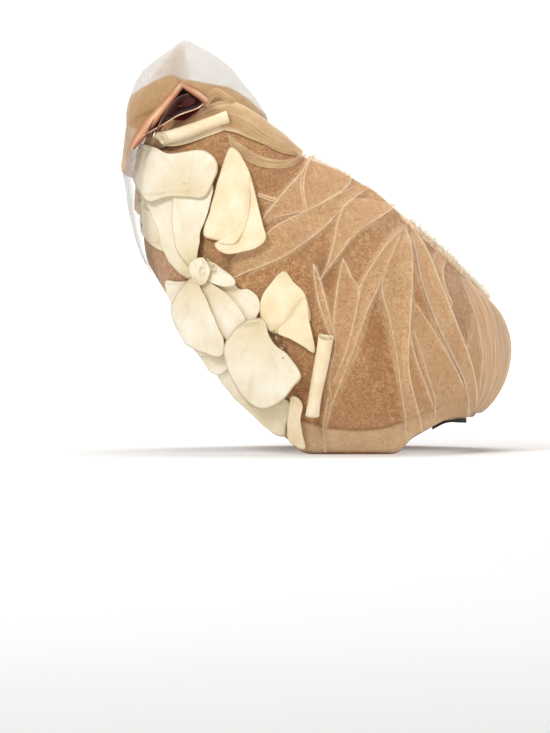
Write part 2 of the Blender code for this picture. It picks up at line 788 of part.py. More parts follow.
def build():
    clear_scene()
    felt_base()
    tulle_drape()
    back_gather()
    rim_binding()
    tulle_pouf()
    tulle_swag()
    front_veil()
    inner_band()
    bow_loop("satin_bow_loop_near", 1)
    bow_loop("satin_bow_loop_far", -1)
    bow_fold()
    for row in PETALS:
        petal(row)
    for row in SCROLLS:
        scroll(row)
    for row in HEARTS:
        flower_heart(row)


build()
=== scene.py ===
"""Dresses the halo hat: felt, tulle, silk flowers, leaves, satin bow and band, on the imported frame.

Shapes are worked out in millimetres and become metres where a mesh is made.
"""

import math
from collections import namedtuple

import bpy
import numpy as np
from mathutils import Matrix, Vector, noise


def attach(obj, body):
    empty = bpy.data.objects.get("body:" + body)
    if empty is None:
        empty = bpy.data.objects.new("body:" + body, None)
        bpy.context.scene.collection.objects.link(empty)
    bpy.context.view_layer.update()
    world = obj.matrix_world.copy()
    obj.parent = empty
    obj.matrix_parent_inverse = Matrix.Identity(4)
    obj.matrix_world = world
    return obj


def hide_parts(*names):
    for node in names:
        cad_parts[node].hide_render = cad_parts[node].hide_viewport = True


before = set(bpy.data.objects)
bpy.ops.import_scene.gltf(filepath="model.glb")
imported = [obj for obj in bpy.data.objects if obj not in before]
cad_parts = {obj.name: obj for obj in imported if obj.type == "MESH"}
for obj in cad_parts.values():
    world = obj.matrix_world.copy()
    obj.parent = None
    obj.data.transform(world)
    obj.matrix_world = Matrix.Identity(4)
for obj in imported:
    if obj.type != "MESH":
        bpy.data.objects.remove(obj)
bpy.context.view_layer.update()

MM = 0.001
FOOTPRINT_SHIFT = (-0.8, 3.0, 0.0)
# The photograph's pixel that is the tables' zero, and the millimetres of one pixel.
ZERO_X = 315.5
ZERO_Y = 450.0
PIXEL = 0.7

# The cloths' own thicknesses in the scene.
PETAL_THICK = 0.5
LEAF_THICK = 0.6
SATIN_THICK = 0.7
BAND_THICK = 1.0
# Thicknesses, and how high above the felt's face each layer lies.
FELT_THICK = 2.2
CUFF_THICK = 5.0
CUFF_ROUND = (1.4, 0.3)
DRAPE_LIFT = 1.6
PETAL_FLOOR = 2.2
PETAL_PITCH = 1.7
# The share of its width times its length that a petal covers.
PETAL_FILL = 0.78
FOLD_STEP = 0.6
GATHER_FLOOR = 0.9
GATHER_THICK = 9.0
# How far round the drape reaches at its lower and upper edge, and where the gather begins there.
DRAPE_REACH = (0.878, 0.832)
GATHER_LOW = 0.87
GATHER_TOP = 0.82
# The height that is flattened where the hat rests, and the height over which that ends.
REST_SNAP = 2.0
REST_BLEND = 9.0
# The light line of a folded edge of tulle, partly its denser edge and partly a painted highlight, the ridge
# under it, and the steps it is followed in.
EDGE_WIDE = 0.6
RIDGE_WIDE = 2.6
EDGE_STEPS = 24
# The rolled rim's middle past the felt's upper edge, its radius and run, and its threads.
RIM_OUT = 2.0
RIM_UP = 2.0
RIM_RADIUS = 2.5
RIM_REACH = (0.56, 1.44)
WHIPPINGS = 110
FRAYS = 900
FRAY_REACH = (0.68, 1.32)
# The black band's run round the back, and its edges below and above the felt's lower edge.
BAND_REACH = (0.76, 1.24)
BAND_EDGES = (-4.0, 8.0)
# The share of the height up to which the drape is doubled at the lower edge.
HEM_TOP = 0.10

# The felt ring's sections from front to back, as in the frame's source.
Section = namedtuple("Section", "low_x low_z low_y mid_x mid_z mid_y top_x top_z top_y")
SECTIONS = (
    Section(-115, 129, 0, -120, 176, 0, -111, 221, 0),
    Section(-104, 112, 36, -111, 166, 44, -100, 231, 28),
    Section(-84, 80, 63, -86, 148, 78, -76, 238, 43),
    Section(-57, 43, 80, -58, 128, 99, -46, 229, 52),
    Section(-23, 12, 88, -24, 109, 111, -13, 206, 59),
    Section(9, 0, 92, 10, 97, 116, 17, 193, 64),
    Section(44, 0, 92, 42, 91, 114, 44, 176, 67),
    Section(71, 13, 86, 70, 87, 105, 67, 152, 66),
    Section(93, 24, 67, 98, 79, 83, 90, 132, 57),
    Section(106, 24, 36, 120, 71, 48, 108, 113, 36),
    Section(111, 23, 0, 126, 67, 0, 116, 104, 0),
)
HALF = len(SECTIONS) - 1
STEP = 1e-3

# Translucent folds of the tulle, by the pixels of their two edges from the rim down, how far
# they stand off, how dense they look, and whether the far side has them too.
Fold = namedtuple("Fold", "left right rise dense far")
FOLDS = (
    Fold(((404, 226), (381, 248), (357, 286), (355, 302), (347, 340), (337, 364), (328, 388)), ((397, 236),
        (383, 268), (375, 288), (365, 308), (355, 336), (343, 368), (330, 404)), 2.4, 0.55, True),
    Fold(((341, 258), (335, 290), (332, 320), (334, 344), (328, 372), (330, 396)), ((341, 258), (349, 276),
        (357, 292), (352, 318), (344, 350), (333, 380)), 1.6, 0.45, True),
    Fold(((386, 264), (377, 288), (385, 320), (391, 350), (395, 382), (398, 404), (401, 426)), ((401, 228),
        (405, 256), (406, 282), (405, 310), (403, 342), (404, 372), (418, 427)), 3.0, 0.5, True),
    Fold(((407, 326), (415, 350), (422, 374), (428, 394), (428, 417)), ((407, 298), (423, 322), (439, 348),
        (451, 370), (461, 392), (463, 415)), 2.2, 0.45, True),
    Fold(((406, 236), (414, 280), (428, 320), (444, 352), (456, 378), (464, 412)), ((408, 229), (423, 258),
        (435, 288), (447, 318), (465, 366), (472, 408)), 2.6, 0.5, True),
    Fold(((430, 252), (426, 268), (431, 288), (440, 306)), ((440, 262), (437, 274), (440, 290), (447,
        306)), 1.2, 0.35, True),
    Fold(((472, 296), (468, 322), (459, 352), (466, 380)), ((480, 306), (481, 334), (476, 362), (474,
        392)), 1.4, 0.4, True),
    Fold(((405, 300), (399, 330), (398, 356), (403, 384), (414, 416)), ((406, 300), (405, 326), (410, 352),
        (422, 386), (432, 414)), 1.8, 0.25, True),
    Fold(((352, 200), (338, 216), (331, 246), (325, 268), (318, 281)), ((395, 207), (375, 222), (353, 237),
        (338, 256), (318, 282)), 2.4, 0.5, True),
    Fold(((349, 190), (327, 203), (300, 216), (276, 228), (264, 238), (234, 259)), ((368, 189), (345, 208),
        (321, 232), (302, 246), (280, 260), (236, 277)), 2.4, 0.5, True),
    Fold(((312, 158), (300, 176), (286, 192), (274, 206), (262, 222)), ((351, 177), (345, 191), (327, 203),
        (305, 214), (266, 222)), 2.0, 0.45, True),
    Fold(((308, 158), (303, 172), (299, 190), (303, 213)), ((315, 158), (306, 172), (303, 190), (306,
        213)), 2.0, 0.6, True),
    Fold(((312, 264), (314, 282), (319, 306), (331, 338)), ((313, 264), (318, 276), (325, 300), (333,
        332)), 2.6, 0.6, False),
    Fold(((328, 388), (325, 404), (323, 420), (324, 446)), ((330, 396), (329, 408), (326, 422), (326,
        447)), 1.6, 0.5, False),
    Fold(((257, 196), (266, 199), (278, 203)), ((257, 199), (266, 203), (276, 206)), 1.6, 0.5, False),
)

# Spots of painted shade on the drape between the folds: pixel, reach across and down, strength.
Shade = namedtuple("Shade", "x y across down much")
SHADES = (
    Shade(322, 274, 13, 22, 0.55),
    Shade(374, 335, 11, 48, 0.42),
    Shade(356, 398, 28, 26, 0.22),
    Shade(342, 300, 8, 34, 0.3),
    Shade(280, 184, 20, 14, 0.22),
    Shade(292, 213, 16, 8, 0.3),
    Shade(297, 243, 22, 12, 0.34),
    Shade(392, 288, 7, 26, 0.32),
    Shade(421, 306, 6, 30, 0.3),
    Shade(452, 338, 5, 26, 0.3),
    Shade(318, 425, 14, 12, 0.3),
    Shade(246, 262, 12, 8, 0.35),
)

# Folds of the swag at the right of the bow, by the pixels of their edges, their lift and how dense
# they look. The first is its band, which the far side has too.
Swag = namedtuple("Swag", "upper lower lift dense")
SWAGS = (
    Swag(((124, 170), (142, 147), (178, 130), (208, 111), (224, 105), (240, 108), (262, 122), (302, 152)),
        ((126, 182), (140, 162), (172, 148), (204, 132), (228, 124), (246, 130), (268, 146), (302, 157)),
        7.4, 0.6),
    Swag(((222, 112), (236, 116), (250, 128), (262, 140), (276, 150), (300, 157)), ((226, 134), (238, 137),
        (250, 142), (264, 148), (280, 156), (300, 160)), 6.4, 0.5),
    Swag(((228, 136), (240, 146), (254, 156), (272, 162), (290, 162), (304, 156)), ((230, 146), (240, 158),
        (254, 167), (272, 171), (292, 169), (306, 158)), 5.0, 0.5),
    Swag(((206, 112), (211, 98), (218, 94), (226, 98), (238, 106)), ((210, 113), (214, 104), (219, 101),
        (225, 105), (234, 110)), 9.0, 0.55),
)

# Petals and leaves by their outline in the photograph's pixels, the pixel they grow from, their
# layer, and how far their sides lift and their edge curls, in millimetres.
Blade = namedtuple("Blade", "name outline root layer cup curl kind")
BLADES = (
    Blade("upper_flower_petal_1", ((144, 146), (155, 148), (166, 152), (178, 159), (194, 158), (208, 157),
        (218, 164), (222, 174), (219, 186), (211, 202), (196, 201), (177, 200), (162, 204), (153, 195),
        (147, 180), (144, 164)), (196, 196), 3, 2.2, 1.2, "petal"),
    Blade("upper_flower_petal_2", ((183, 190), (200, 188), (217, 190), (213, 216), (207, 236), (205, 256),
        (200, 267), (192, 260), (186, 250), (182, 234), (181, 216)), (200, 262), 2, 1.8, 1.2, "petal"),
    Blade("upper_flower_petal_3", ((150, 190), (166, 188), (186, 194), (192, 226), (194, 250), (200, 268),
        (201, 277), (190, 275), (178, 262), (170, 248), (166, 232), (160, 216)), (199, 272), 1, 1.4, 1.0,
        "petal"),
    Blade("upper_flower_petal_4", ((140, 186), (154, 188), (166, 206), (174, 232), (174, 250), (163, 249),
        (150, 238), (142, 222), (138, 206)), (164, 242), 0, 0.5, 0.6, "petal"),
    Blade("upper_flower_petal_5", ((143, 151), (153, 156), (154, 176), (155, 192), (158, 208), (150, 209),
        (145, 196), (142, 180), (142, 164)), (148, 204), 0, 0.5, 0.4, "petal"),
    Blade("lower_flower_petal_1", ((200, 276), (206, 281), (213, 294), (221, 312), (231, 334), (231, 350),
        (221, 350), (206, 344), (194, 335), (185, 318), (182, 308), (187, 292)), (203, 280), 2, 2.0, 1.2,
        "petal"),
    Blade("lower_flower_petal_2", ((206, 277), (220, 284), (234, 295), (244, 307), (250, 319), (246, 332),
        (236, 340), (222, 324), (210, 304), (202, 288)), (210, 283), 1, 1.2, 1.4, "petal"),
    Blade("lower_flower_petal_3", ((222, 276), (234, 280), (242, 288), (250, 288), (259, 295), (262, 306),
        (258, 316), (252, 326), (240, 314), (228, 298), (215, 284)), (224, 280), 0, 0.8, 1.0, "petal"),
    Blade("lower_flower_petal_4", ((250, 318), (258, 316), (267, 317), (272, 331), (280, 342), (290, 350),
        (303, 369), (296, 380), (287, 392), (274, 400), (262, 399), (249, 388), (241, 374), (234, 357),
        (232, 340), (240, 326)), (262, 322), 2, 2.6, 1.2, "petal"),
    Blade("lower_flower_petal_5", ((171, 279), (182, 280), (196, 281), (190, 290), (186, 302), (182, 310),
        (176, 298), (172, 288)), (194, 282), 0, 0.8, 0.8, "petal"),
    Blade("lower_flower_petal_6", ((212, 352), (232, 342), (250, 364), (264, 386), (280, 392), (290, 396),
        (294, 404), (288, 420), (287, 430), (276, 428), (262, 419), (248, 404), (232, 386), (221, 370)),
        (270, 400), 0, 0.6, 0.5, "petal"),
    Blade("lower_flower_petal_7", ((198, 334), (214, 340), (230, 342), (238, 356), (225, 370), (212, 361),
        (203, 350)), (226, 352), 1, 0.8, 0.6, "petal"),
    Blade("pointed_leaf", ((232, 152), (240, 158), (247, 170), (252, 184), (257, 204), (257, 220), (250,
        234), (240, 240), (228, 243), (218, 241), (209, 236), (213, 216), (218, 196), (223, 176), (228,
        160)), (232, 154), 1, 1.8, 1.4, "leaf"),
    Blade("folded_leaf_back", ((284, 271), (294, 282), (305, 294), (310, 318), (298, 322), (280, 331),
        (268, 326), (262, 313), (263, 296), (272, 282)), (284, 273), 0, 0.8, 0.6, "leaf"),
    Blade("folded_leaf_front", ((305, 297), (309, 318), (315, 348), (304, 343), (292, 336), (279, 329),
        (292, 314)), (312, 346), 1, 1.2, 0.8, "leaf"),
    Blade("edge_leaf", ((293, 390), (300, 392), (304, 399), (302, 412), (304, 426), (307, 440), (300, 440),
        (292, 432), (290, 418), (291, 404)), (298, 392), 1, 1.4, 1.2, "leaf"),
)

# Loose scraps of the flowers and the pointed leaf, laid with the blade of the same kind.
SCRAPS = (
    Blade("pointed_leaf_flap", ((250, 182), (255, 196), (259, 212), (264, 230), (267, 243), (258, 251),
        (244, 255), (232, 256), (223, 251), (222, 245), (230, 247), (239, 246), (245, 236), (249, 222),
        (251, 204)), (251, 190), 2, 2.6, 1.8, "leaf"),
    Blade("upper_heart_scrap", ((206, 266), (216, 262), (226, 268), (236, 276), (240, 284), (230, 286),
        (218, 282), (209, 276)), (210, 268), 1, 2.6, 2.2, "petal"),
    Blade("upper_heart_curl", ((200, 262), (210, 258), (216, 266), (216, 278), (208, 284), (201, 276)),
        (208, 282), 2, 1.8, 2.4, "petal"),
)

# Leaves rolled into a scroll: the ends of the roll in pixels, its radius, the flap's side and
# length, the turns of the roll, and how far its first end is cut aslant.
Scroll = namedtuple("Scroll", "name start end radius toward flap turns cut")
SCROLLS = (
    Scroll("rolled_leaf_upper", (174, 146), (229, 124), 5.2, (0, -1), 6, 1.9, 7.0),
    Scroll("rolled_leaf_lower", (325, 334), (313, 407), 5.3, (-1, 0), 5, 1.3, 3.0),
)

# Levels of the pouf, as in the frame's source but with the photograph's outline.
Level = namedtuple("Level", "z front back half")
POUF_LEVELS = (
    Level(214, -130, -29, 52),
    Level(226, -133, -32, 49),
    Level(236, -133, -35, 44),
    Level(245, -131, -41, 40),
    Level(256, -127, -50, 33),
    Level(266, -121, -58, 25),
    Level(276, -108, -70, 15),
    Level(283, -99, -82, 7),
    Level(287, -93, -90, 2),
)
# The folded edge of the pouf's inner layer: from the back, -1, to the front, 1, and its height.
POUF_FOLD = (
    (-1.0, 236), (-0.9, 247), (-0.75, 254.5), (-0.43, 257), (0.11, 260.5), (0.38, 264), (0.7, 259),
    (1.0, 250),
)
# Where the pouf leaves the rim and where it crosses the crown, its middle, and its tan strip.
POUF_BACK = -37.0
POUF_CROSS = -33.5
POUF_CENTRE = (-84.0, 0.0, 240.0)
POUF_STRIP = (((148, 82), (158, 67), (172, 51), (183, 40)), ((196, 86), (192, 72), (188, 56), (185, 40)))

# The veil in front of the flowers: its share of the felt's height and its height above the felt,
# and how far round the front it reaches.
VEIL = (
    (0.03, 3.4), (0.13, 6.6), (0.28, 8.6), (0.46, 12.0), (0.60, 14.5), (0.70, 18.0), (0.80, 17.5),
    (0.92, 17.0),
)
VEIL_REACH = 0.095

# The tulle below the pouf, in the same way.
APRON = (
    (0.655, 14.5), (0.68, 17.2), (0.71, 18.6), (0.78, 18.6), (0.86, 19.8), (0.95, 21.8), (1.05, 22.6),
    (1.12, 19.0),
)
APRON_REACH = 0.085

# The hearts of the flowers: the pixels of their curls and stamens, how many stamens, the curls'
# radius and height, and the flat size and area of their silk in metres.
Heart = namedtuple("Heart", "name curls tips stamens size high flat area")
HEARTS = (
    Heart("upper_flower_heart", ((212, 261), (210, 270), (219, 268)), ((228, 262), (232, 266)), 8, 2.6, 5.5,
        (0.0135, 0.02), 0.00027),
    Heart("lower_flower_heart", ((279, 334), (284, 343)),
        ((268, 325), (272, 330), (276, 335), (280, 341), (284, 347), (288, 352)), 28, 1.5, 3.4,
        (0.01, 0.011), 0.00007),
)

# The mouth of the bow's loop and the knot it narrows to.
BOW_MOUTH = (
    (-127, -41, 216), (-119, -48, 225), (-110, -54, 236), (-102, -58, 247), (-94, -62, 257), (-85, -62, 252),
    (-76, -62, 247), (-80, -60.5, 239), (-95, -60, 233), (-107, -55, 226), (-118, -50, 220),
)
BOW_KNOT = (-98, -42.4, 238)
# A disc of painted shade behind the mouth: its half width and height, and its middle from the knot.
SHADE_DISC_WIDE = 13
SHADE_DISC_HIGH = 10
SHADE_DISC_SHIFT = (4.0, -3.0, 2.0)
# The folded hems of the mouth, by the pixels of their outer and inner edges, and their depths.
HEMS = (
    (((181, 82), (165, 101), (148, 120), (137, 134), (131, 149)),
     ((184, 90), (173, 104), (159, 123), (147, 138), (135, 150)), (-63.0, -43.0)),
    (((180, 82), (194, 88), (203, 93), (210, 99)),
     ((183, 89), (193, 96), (200, 101), (206, 107)), (-63.0, -62.0)),
)
# The folded edges inside the mouth, by their pixels and depth.
BOW_FOLDS = (
    (((189, 95), (180, 98), (172, 106), (164, 118), (158, 130)), -57.0),
    (((178, 92), (166, 104), (156, 118), (146, 136)), -54.0),
)


def ring_of_sections():
    """The felt's sections all the way round, as lower, middle and upper points."""
    side = [
        [[s.low_x, -s.low_y, s.low_z], [s.mid_x, -s.mid_y, s.mid_z], [s.top_x, -s.top_y, s.top_z]]
        for s in SECTIONS
    ]
    far = [[[x, -y, z] for x, y, z in row] for row in side[-2:0:-1]]
    return np.array(side + far, float)


RING = ring_of_sections()


def spline(p0, p1, p2, p3, f):
    """The smooth run from the second point to the third, at this share of the way."""
    bend = (2 * p0 - 5 * p1 + 4 * p2 - p3) * f**2
    return 0.5 * (2 * p1 + (p2 - p0) * f + bend + (3 * p1 - p0 - 3 * p2 + p3) * f**3)


def unit(vectors):
    return vectors / np.linalg.norm(vectors, axis=-1, keepdims=True)


def felt(u, v):
    """Points of the felt's outer face: u is 0 to 1 from front to back on the decorated side and
    0 to -1 on the other, v is 0 to 1 from the lower edge to the upper."""
    u, v = np.broadcast_arrays(np.asarray(u, float), np.asarray(v, float))
    t = (u * HALF) % len(RING)
    i = np.floor(t).astype(int)
    f = (t - i)[..., None, None]
    row = spline(*(RING[(i + k) % len(RING)] for k in (-1, 0, 1, 2)), f)
    low, middle, top = (row[..., k, :] for k in range(3))
    v = v[..., None]
    return low * (1 - v) * (1 - 2 * v) + middle * 4 * v * (1 - v) + top * v * (2 * v - 1)


def normal(u, v):
    """The way out of the felt's outer face."""
    along = felt(u + STEP, v) - felt(u - STEP, v)
    up = felt(u, v + STEP) - felt(u, v - STEP)
    return unit(np.cross(along, up))


def raised(u, v, height):
    """Points this high above the felt's outer face."""
    return felt(u, v) + normal(u, v) * np.asarray(height)[..., None]


TRY_U, TRY_V = (g.ravel() for g in np.meshgrid(np.linspace(0, 1, 61), np.linspace(0, 1.1, 34)))
TRY_POINTS = felt(TRY_U, TRY_V)[:, [0, 2]]


def locate(spots):
    """The u and v of the decorated side's points seen at these x, z from that side."""
    spots = np.asarray(spots, float)
    flat = spots.reshape(-1, 2)
    near = np.array([np.argmin(((TRY_POINTS - p) ** 2).sum(axis=1)) for p in flat])
    u, v = TRY_U[near], TRY_V[near]
    for _ in range(10):
        here = felt(u, v)[:, [0, 2]]
        du = (felt(u + STEP, v)[:, [0, 2]] - here) / STEP
        dv = (felt(u, v + STEP)[:, [0, 2]] - here) / STEP
        miss = flat - here
        aa, bb, ab = (du * du).sum(1) + 60, (dv * dv).sum(1) + 60, (du * dv).sum(1)
        ra, rb = (du * miss).sum(1), (dv * miss).sum(1)
        det = aa * bb - ab * ab
        u = np.clip(u + np.clip((ra * bb - rb * ab) / det, -0.05, 0.05), -0.02, 1.0)
        v = np.clip(v + np.clip((rb * aa - ra * ab) / det, -0.05, 0.05), 0.0, 1.1)
    return u.reshape(spots.shape[:-1]), v.reshape(spots.shape[:-1])


def seen(pixels):
    """Pixels of the photograph as x and z in the tables' millimetres."""
    p = np.asarray(pixels, float)
    return np.stack([(p[..., 0] - ZERO_X) * PIXEL, (ZERO_Y - p[..., 1]) * PIXEL], axis=-1)


def curve(points, count, closed=False):
    """A smooth line through points, at even steps along it."""
    p = np.asarray(points, float)
    if closed:
        p = np.concatenate([p[-1:], p, p[:2]])
    else:
        p = np.concatenate([2 * p[:1] - p[1:2], p, 2 * p[-1:] - p[-2:-1]])
    steps = down(12, 0, 1, endpoint=False)
    fine = [spline(*p[k - 1 : k + 3], steps) for k in range(1, len(p) - 2)]
    fine = np.concatenate(fine + [p[-2:-1]])
    run = np.concatenate([[0], np.cumsum(np.linalg.norm(np.diff(fine, axis=0), axis=1))])
    at = np.linspace(0, run[-1], count, endpoint=not closed)
    return np.stack([np.interp(at, run, fine[:, k]) for k in range(p.shape[1])], axis=-1)


def down(count, low, high, endpoint=True):
    """Even steps, one for each column of a grid."""
    return np.linspace(low, high, count, endpoint=endpoint)[:, None]


def across(count, low, high, endpoint=True):
    """Even steps, one for each row of a grid."""
    return down(count, low, high, endpoint).T


def between(left, right, s):
    """A grid from one line to another, by the shares of the way."""
    s = s[..., None]
    return left[:, None, :] * (1 - s) + right[:, None, :] * s


def stacked(first, second):
    """Pairs from two arrays, as points for the noise."""
    return np.stack(np.broadcast_arrays(first, second), axis=-1)


def bell(x, wide):
    """1 at zero, falling softly to nothing at about twice this width."""
    return np.exp(-((x / wide) ** 2))


def smooth(t):
    """A soft step from 0 to 1."""
    t = np.clip(t, 0, 1)
    return t * t * (3 - 2 * t)


def ripple(points, scale, seed):
    """Smooth noise from -1 to 1 at points, whose waves are this many millimetres long."""
    flat = np.asarray(points, float).reshape(-1, np.shape(points)[-1])
    if flat.shape[1] == 2:
        flat = np.concatenate([flat, np.zeros((len(flat), 1))], axis=1)
    made = [noise.noise(Vector((p[0] / scale + seed, p[1] / scale - seed, p[2] / scale))) for p in flat]
    return np.array(made).reshape(np.shape(points)[:-1])


def mesh_object(name, points, faces, marks, finish):
    """A mesh piece from points in millimetres, with named numbers on its points."""
    mesh = bpy.data.meshes.new(name)
    placed = (np.asarray(points, float) + FOOTPRINT_SHIFT) * MM
    mesh.from_pydata(placed.tolist(), [], faces)
    for key, values in marks.items():
        mark = mesh.attributes.new(key, "FLOAT", "POINT")
        mark.data.foreach_set("value", np.asarray(values, np.float32))
    made = link_object(name, mesh, finish)
    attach(made, "root")
    return made


def link_object(name, mesh, finish):
    mesh.polygons.foreach_set("use_smooth", [True] * len(mesh.polygons))
    mesh.materials.append(finish)
    made = bpy.data.objects.new(name, mesh)
    bpy.context.scene.collection.objects.link(made)
    return made


# How the pieces that lie folded on the drape are held.
ON_DRAPE = {"held": "folded", "rests_on": ["tulle_drape_net"]}


def dress(made, slot, node=None, **sheet):
    """Hides the frame's node that a piece takes the place of; the piece's material slot and its flat sheet
    are not used.
    """
    if node:
        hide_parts(node)


class Joined:
    """Grids of points that make up one piece."""

    def __init__(self):
        self.points, self.faces, self.marks, self.count = [], [], {}, 0

    def add(self, grid, closed=False, **marks):
        columns, rows = grid.shape[:2]
        for i in range(columns if closed else columns - 1):
            a, b = self.count + i * rows, self.count + ((i + 1) % columns) * rows
            self.faces += [(a + j, b + j, b + j + 1, a + j + 1) for j in range(rows - 1)]
        self.points.append(grid.reshape(-1, 3))
        self.count += columns * rows
        for key, value in marks.items():
            self.marks.setdefault(key, []).append(np.broadcast_to(value, (columns, rows)).ravel())

    def piece(self, name, finish):
        marks = {key: np.concatenate(values) for key, values in self.marks.items()}
        return mesh_object(name, np.concatenate(self.points), self.faces, marks, finish)


def tube_faces(first, columns, sides):
    """The faces of a closed tube whose rings follow one another from this point on."""
    last = first + (columns - 1) * sides
    faces = [
        (a + k, a + (k + 1) % sides, a + sides + (k + 1) % sides, a + sides + k)
        for a in range(first, last, sides)
        for k in range(sides)
    ]
    return faces + [tuple(range(first, first + sides))[::-1], tuple(range(last, last + sides))]


def grid_piece(name, points, marks, finish, closed=False):
    cloth = Joined()
    cloth.add(points, closed, **marks)
    return cloth.piece(name, finish)


def shell_piece(name, outer, inner, marks, finish, closed=False, capped=False, inner_marks=None):
    """A sheet with thickness, from grids of its two faces; a capped one is filled at its middle."""
    columns, rows = outer.shape[:2]
    half = columns * rows
    cloth = Joined()
    cloth.add(outer, closed, **marks)
    quads = len(cloth.faces)
    cloth.add(inner, closed, **(inner_marks or marks))
    faces = cloth.faces
    faces[quads:] = [f[::-1] for f in faces[quads:]]
    if capped:
        middle = tuple(i * rows for i in range(columns))
        faces += [middle[::-1], tuple(half + i for i in middle)]
    for i in range(columns if closed else columns - 1):
        for j in (rows - 1,) if capped else (0, rows - 1):
            a, b = i * rows + j, ((i + 1) % columns) * rows + j
            quad = (a, a + half, b + half, b)
            faces.append(quad if j == 0 else quad[::-1])
    for i in () if closed else (0, columns - 1):
        for a in range(i * rows, i * rows + rows - 1):
            quad = (a, a + 1, a + 1 + half, a + half)
            faces.append(quad if i == 0 else quad[::-1])
    return cloth.piece(name, finish)


def linear(red, green, blue):
    """A colour given as the photograph shows it, 0 to 255, for a shader."""
    made = [c / 255 for c in (red, green, blue)]
    return (*[c / 12.92 if c <= 0.04045 else ((c + 0.055) / 1.055) ** 2.4 for c in made], 1.0)


# The colour sockets of a mix node, whose names repeat for each kind of value.
COLOUR_MIX = (0, 6, 7)
COLOUR_OUT = 2


class Shader:
    """A principled material with short calls for the nodes that feed it."""

    def __init__(self, name, roughness, sheen=0.0, specular=0.3, metallic=0.0, anisotropic=0.0):
        self.material = bpy.data.materials.new(name)
        self.material.use_nodes = True
        self.tree = self.material.node_tree
        self.bsdf = self.tree.nodes["Principled BSDF"]
        values = {
            "Roughness": roughness,
            "Sheen Weight": sheen,
            "Sheen Roughness": 0.5,
            "Specular IOR Level": specular,
            "Metallic": metallic,
            "Anisotropic": anisotropic,
        }
        for key, value in values.items():
            self.bsdf.inputs[key].default_value = value
        self.where = self.node("ShaderNodeTexCoord").outputs["Object"]

    def node(self, kind, **settings):
        made = self.tree.nodes.new(kind)
        for key, value in settings.items():
            setattr(made, key, value)
        return made

    def link(self, source, target):
        self.tree.links.new(source, target)

    def feed(self, value, socket):
        """Sets a socket to a number or a colour, or links an output to it."""
        if isinstance(value, (int, float)):
            socket.default_value = value
        elif isinstance(value, tuple):
            socket.default_value = linear(*value)
        else:
            self.link(value, socket)

    def mark(self, name):
        """A piece's named numbers, 0 where it has none of this name."""
        return self.node("ShaderNodeAttribute", attribute_name=name).outputs["Fac"]

    def stretched(self, scale):
        made = self.node("ShaderNodeMapping")
        made.inputs["Scale"].default_value = scale
        self.link(self.where, made.inputs["Vector"])
        return made.outputs["Vector"]

    def noise(self, scale, detail=3.0, rough=0.55, where=None, distortion=0.0):
        made = self.node("ShaderNodeTexNoise")
        self.link(where or self.where, made.inputs["Vector"])
        made.inputs["Scale"].default_value = scale
        made.inputs["Detail"].default_value = detail
        made.inputs["Roughness"].default_value = rough
        made.inputs["Distortion"].default_value = distortion
        return made.outputs["Fac"]

    def net(self, scale):
        """The threads of a net: 1 on a thread, 0 in a mesh."""
        made = self.node("ShaderNodeTexVoronoi", feature="DISTANCE_TO_EDGE")
        self.link(self.where, made.inputs["Vector"])
        made.inputs["Scale"].default_value = scale
        return self.span(made.outputs["Distance"], 0.02, 0.16, 1.0, 0.0)

    def streaks(self, fan, root, scale, detail=2.0):
        """Noise drawn out along a piece, from the marks that run across and along it."""
        where = self.node("ShaderNodeCombineXYZ")
        self.link(self.times(self.mark("fan"), fan), where.inputs[0])
        self.link(self.times(self.mark("root"), root), where.inputs[1])
        self.link(self.mark("seed"), where.inputs[2])
        return self.noise(scale, detail, 0.5, where.outputs[0])

    def span(self, value, low, high, out_low=0.0, out_high=1.0):
        made = self.node("ShaderNodeMapRange")
        self.link(value, made.inputs["Value"])
        for key, number in zip(("From Min", "From Max", "To Min", "To Max"), (low, high, out_low, out_high)):
            made.inputs[key].default_value = number
        return made.outputs["Result"]

    def sum(self, first, second, operation="ADD", clamp=False):
        made = self.node("ShaderNodeMath", operation=operation, use_clamp=clamp)
        self.feed(first, made.inputs[0])
        self.feed(second, made.inputs[1])
        return made.outputs[0]

    def times(self, first, second):
        return self.sum(first, second, "MULTIPLY")

    def mix(self, share, first, second):
        made = self.node("ShaderNodeMix", data_type="RGBA")
        for value, k in zip((share, first, second), COLOUR_MIX):
            self.feed(value, made.inputs[k])
        return made.outputs[COLOUR_OUT]

    def colour(self, value):
        self.link(value, self.bsdf.inputs["Base Color"])

    def alpha(self, value):
        self.link(value, self.bsdf.inputs["Alpha"])

    def bump(self, heights):
        """Bumps from pairs of a height and its depth in millimetres."""
        last = None
        for height, depth in heights:
            made = self.node("ShaderNodeBump")
            made.inputs["Strength"].default_value = 1.0
            made.inputs["Distance"].default_value = depth * MM
            self.link(height, made.inputs["Height"])
            if last is not None:
                self.link(last, made.inputs["Normal"])
            last = made.outputs["Normal"]
        self.link(last, self.bsdf.inputs["Normal"])


def felt_finish():
    """Fuzzy tan felt, mottled and fibrous."""
    s = Shader("felt_fuzzy_tan", 0.95, sheen=0.5, specular=0.15)
    mottle = s.noise(160, 4, 0.65)
    fuzz = s.noise(1400, 3, 0.7)
    fibres = s.noise(520, 4, 0.7, distortion=1.5)
    base = s.mix(s.span(mottle, 0.35, 0.65), (150, 96, 56), (190, 134, 84))
    s.colour(s.mix(s.span(fibres, 0.5, 0.68, 0, 0.8), base, (124, 74, 42)))
    s.bump([(mottle, 0.5), (fibres, 0.5), (fuzz, 0.35)])
    return s.material


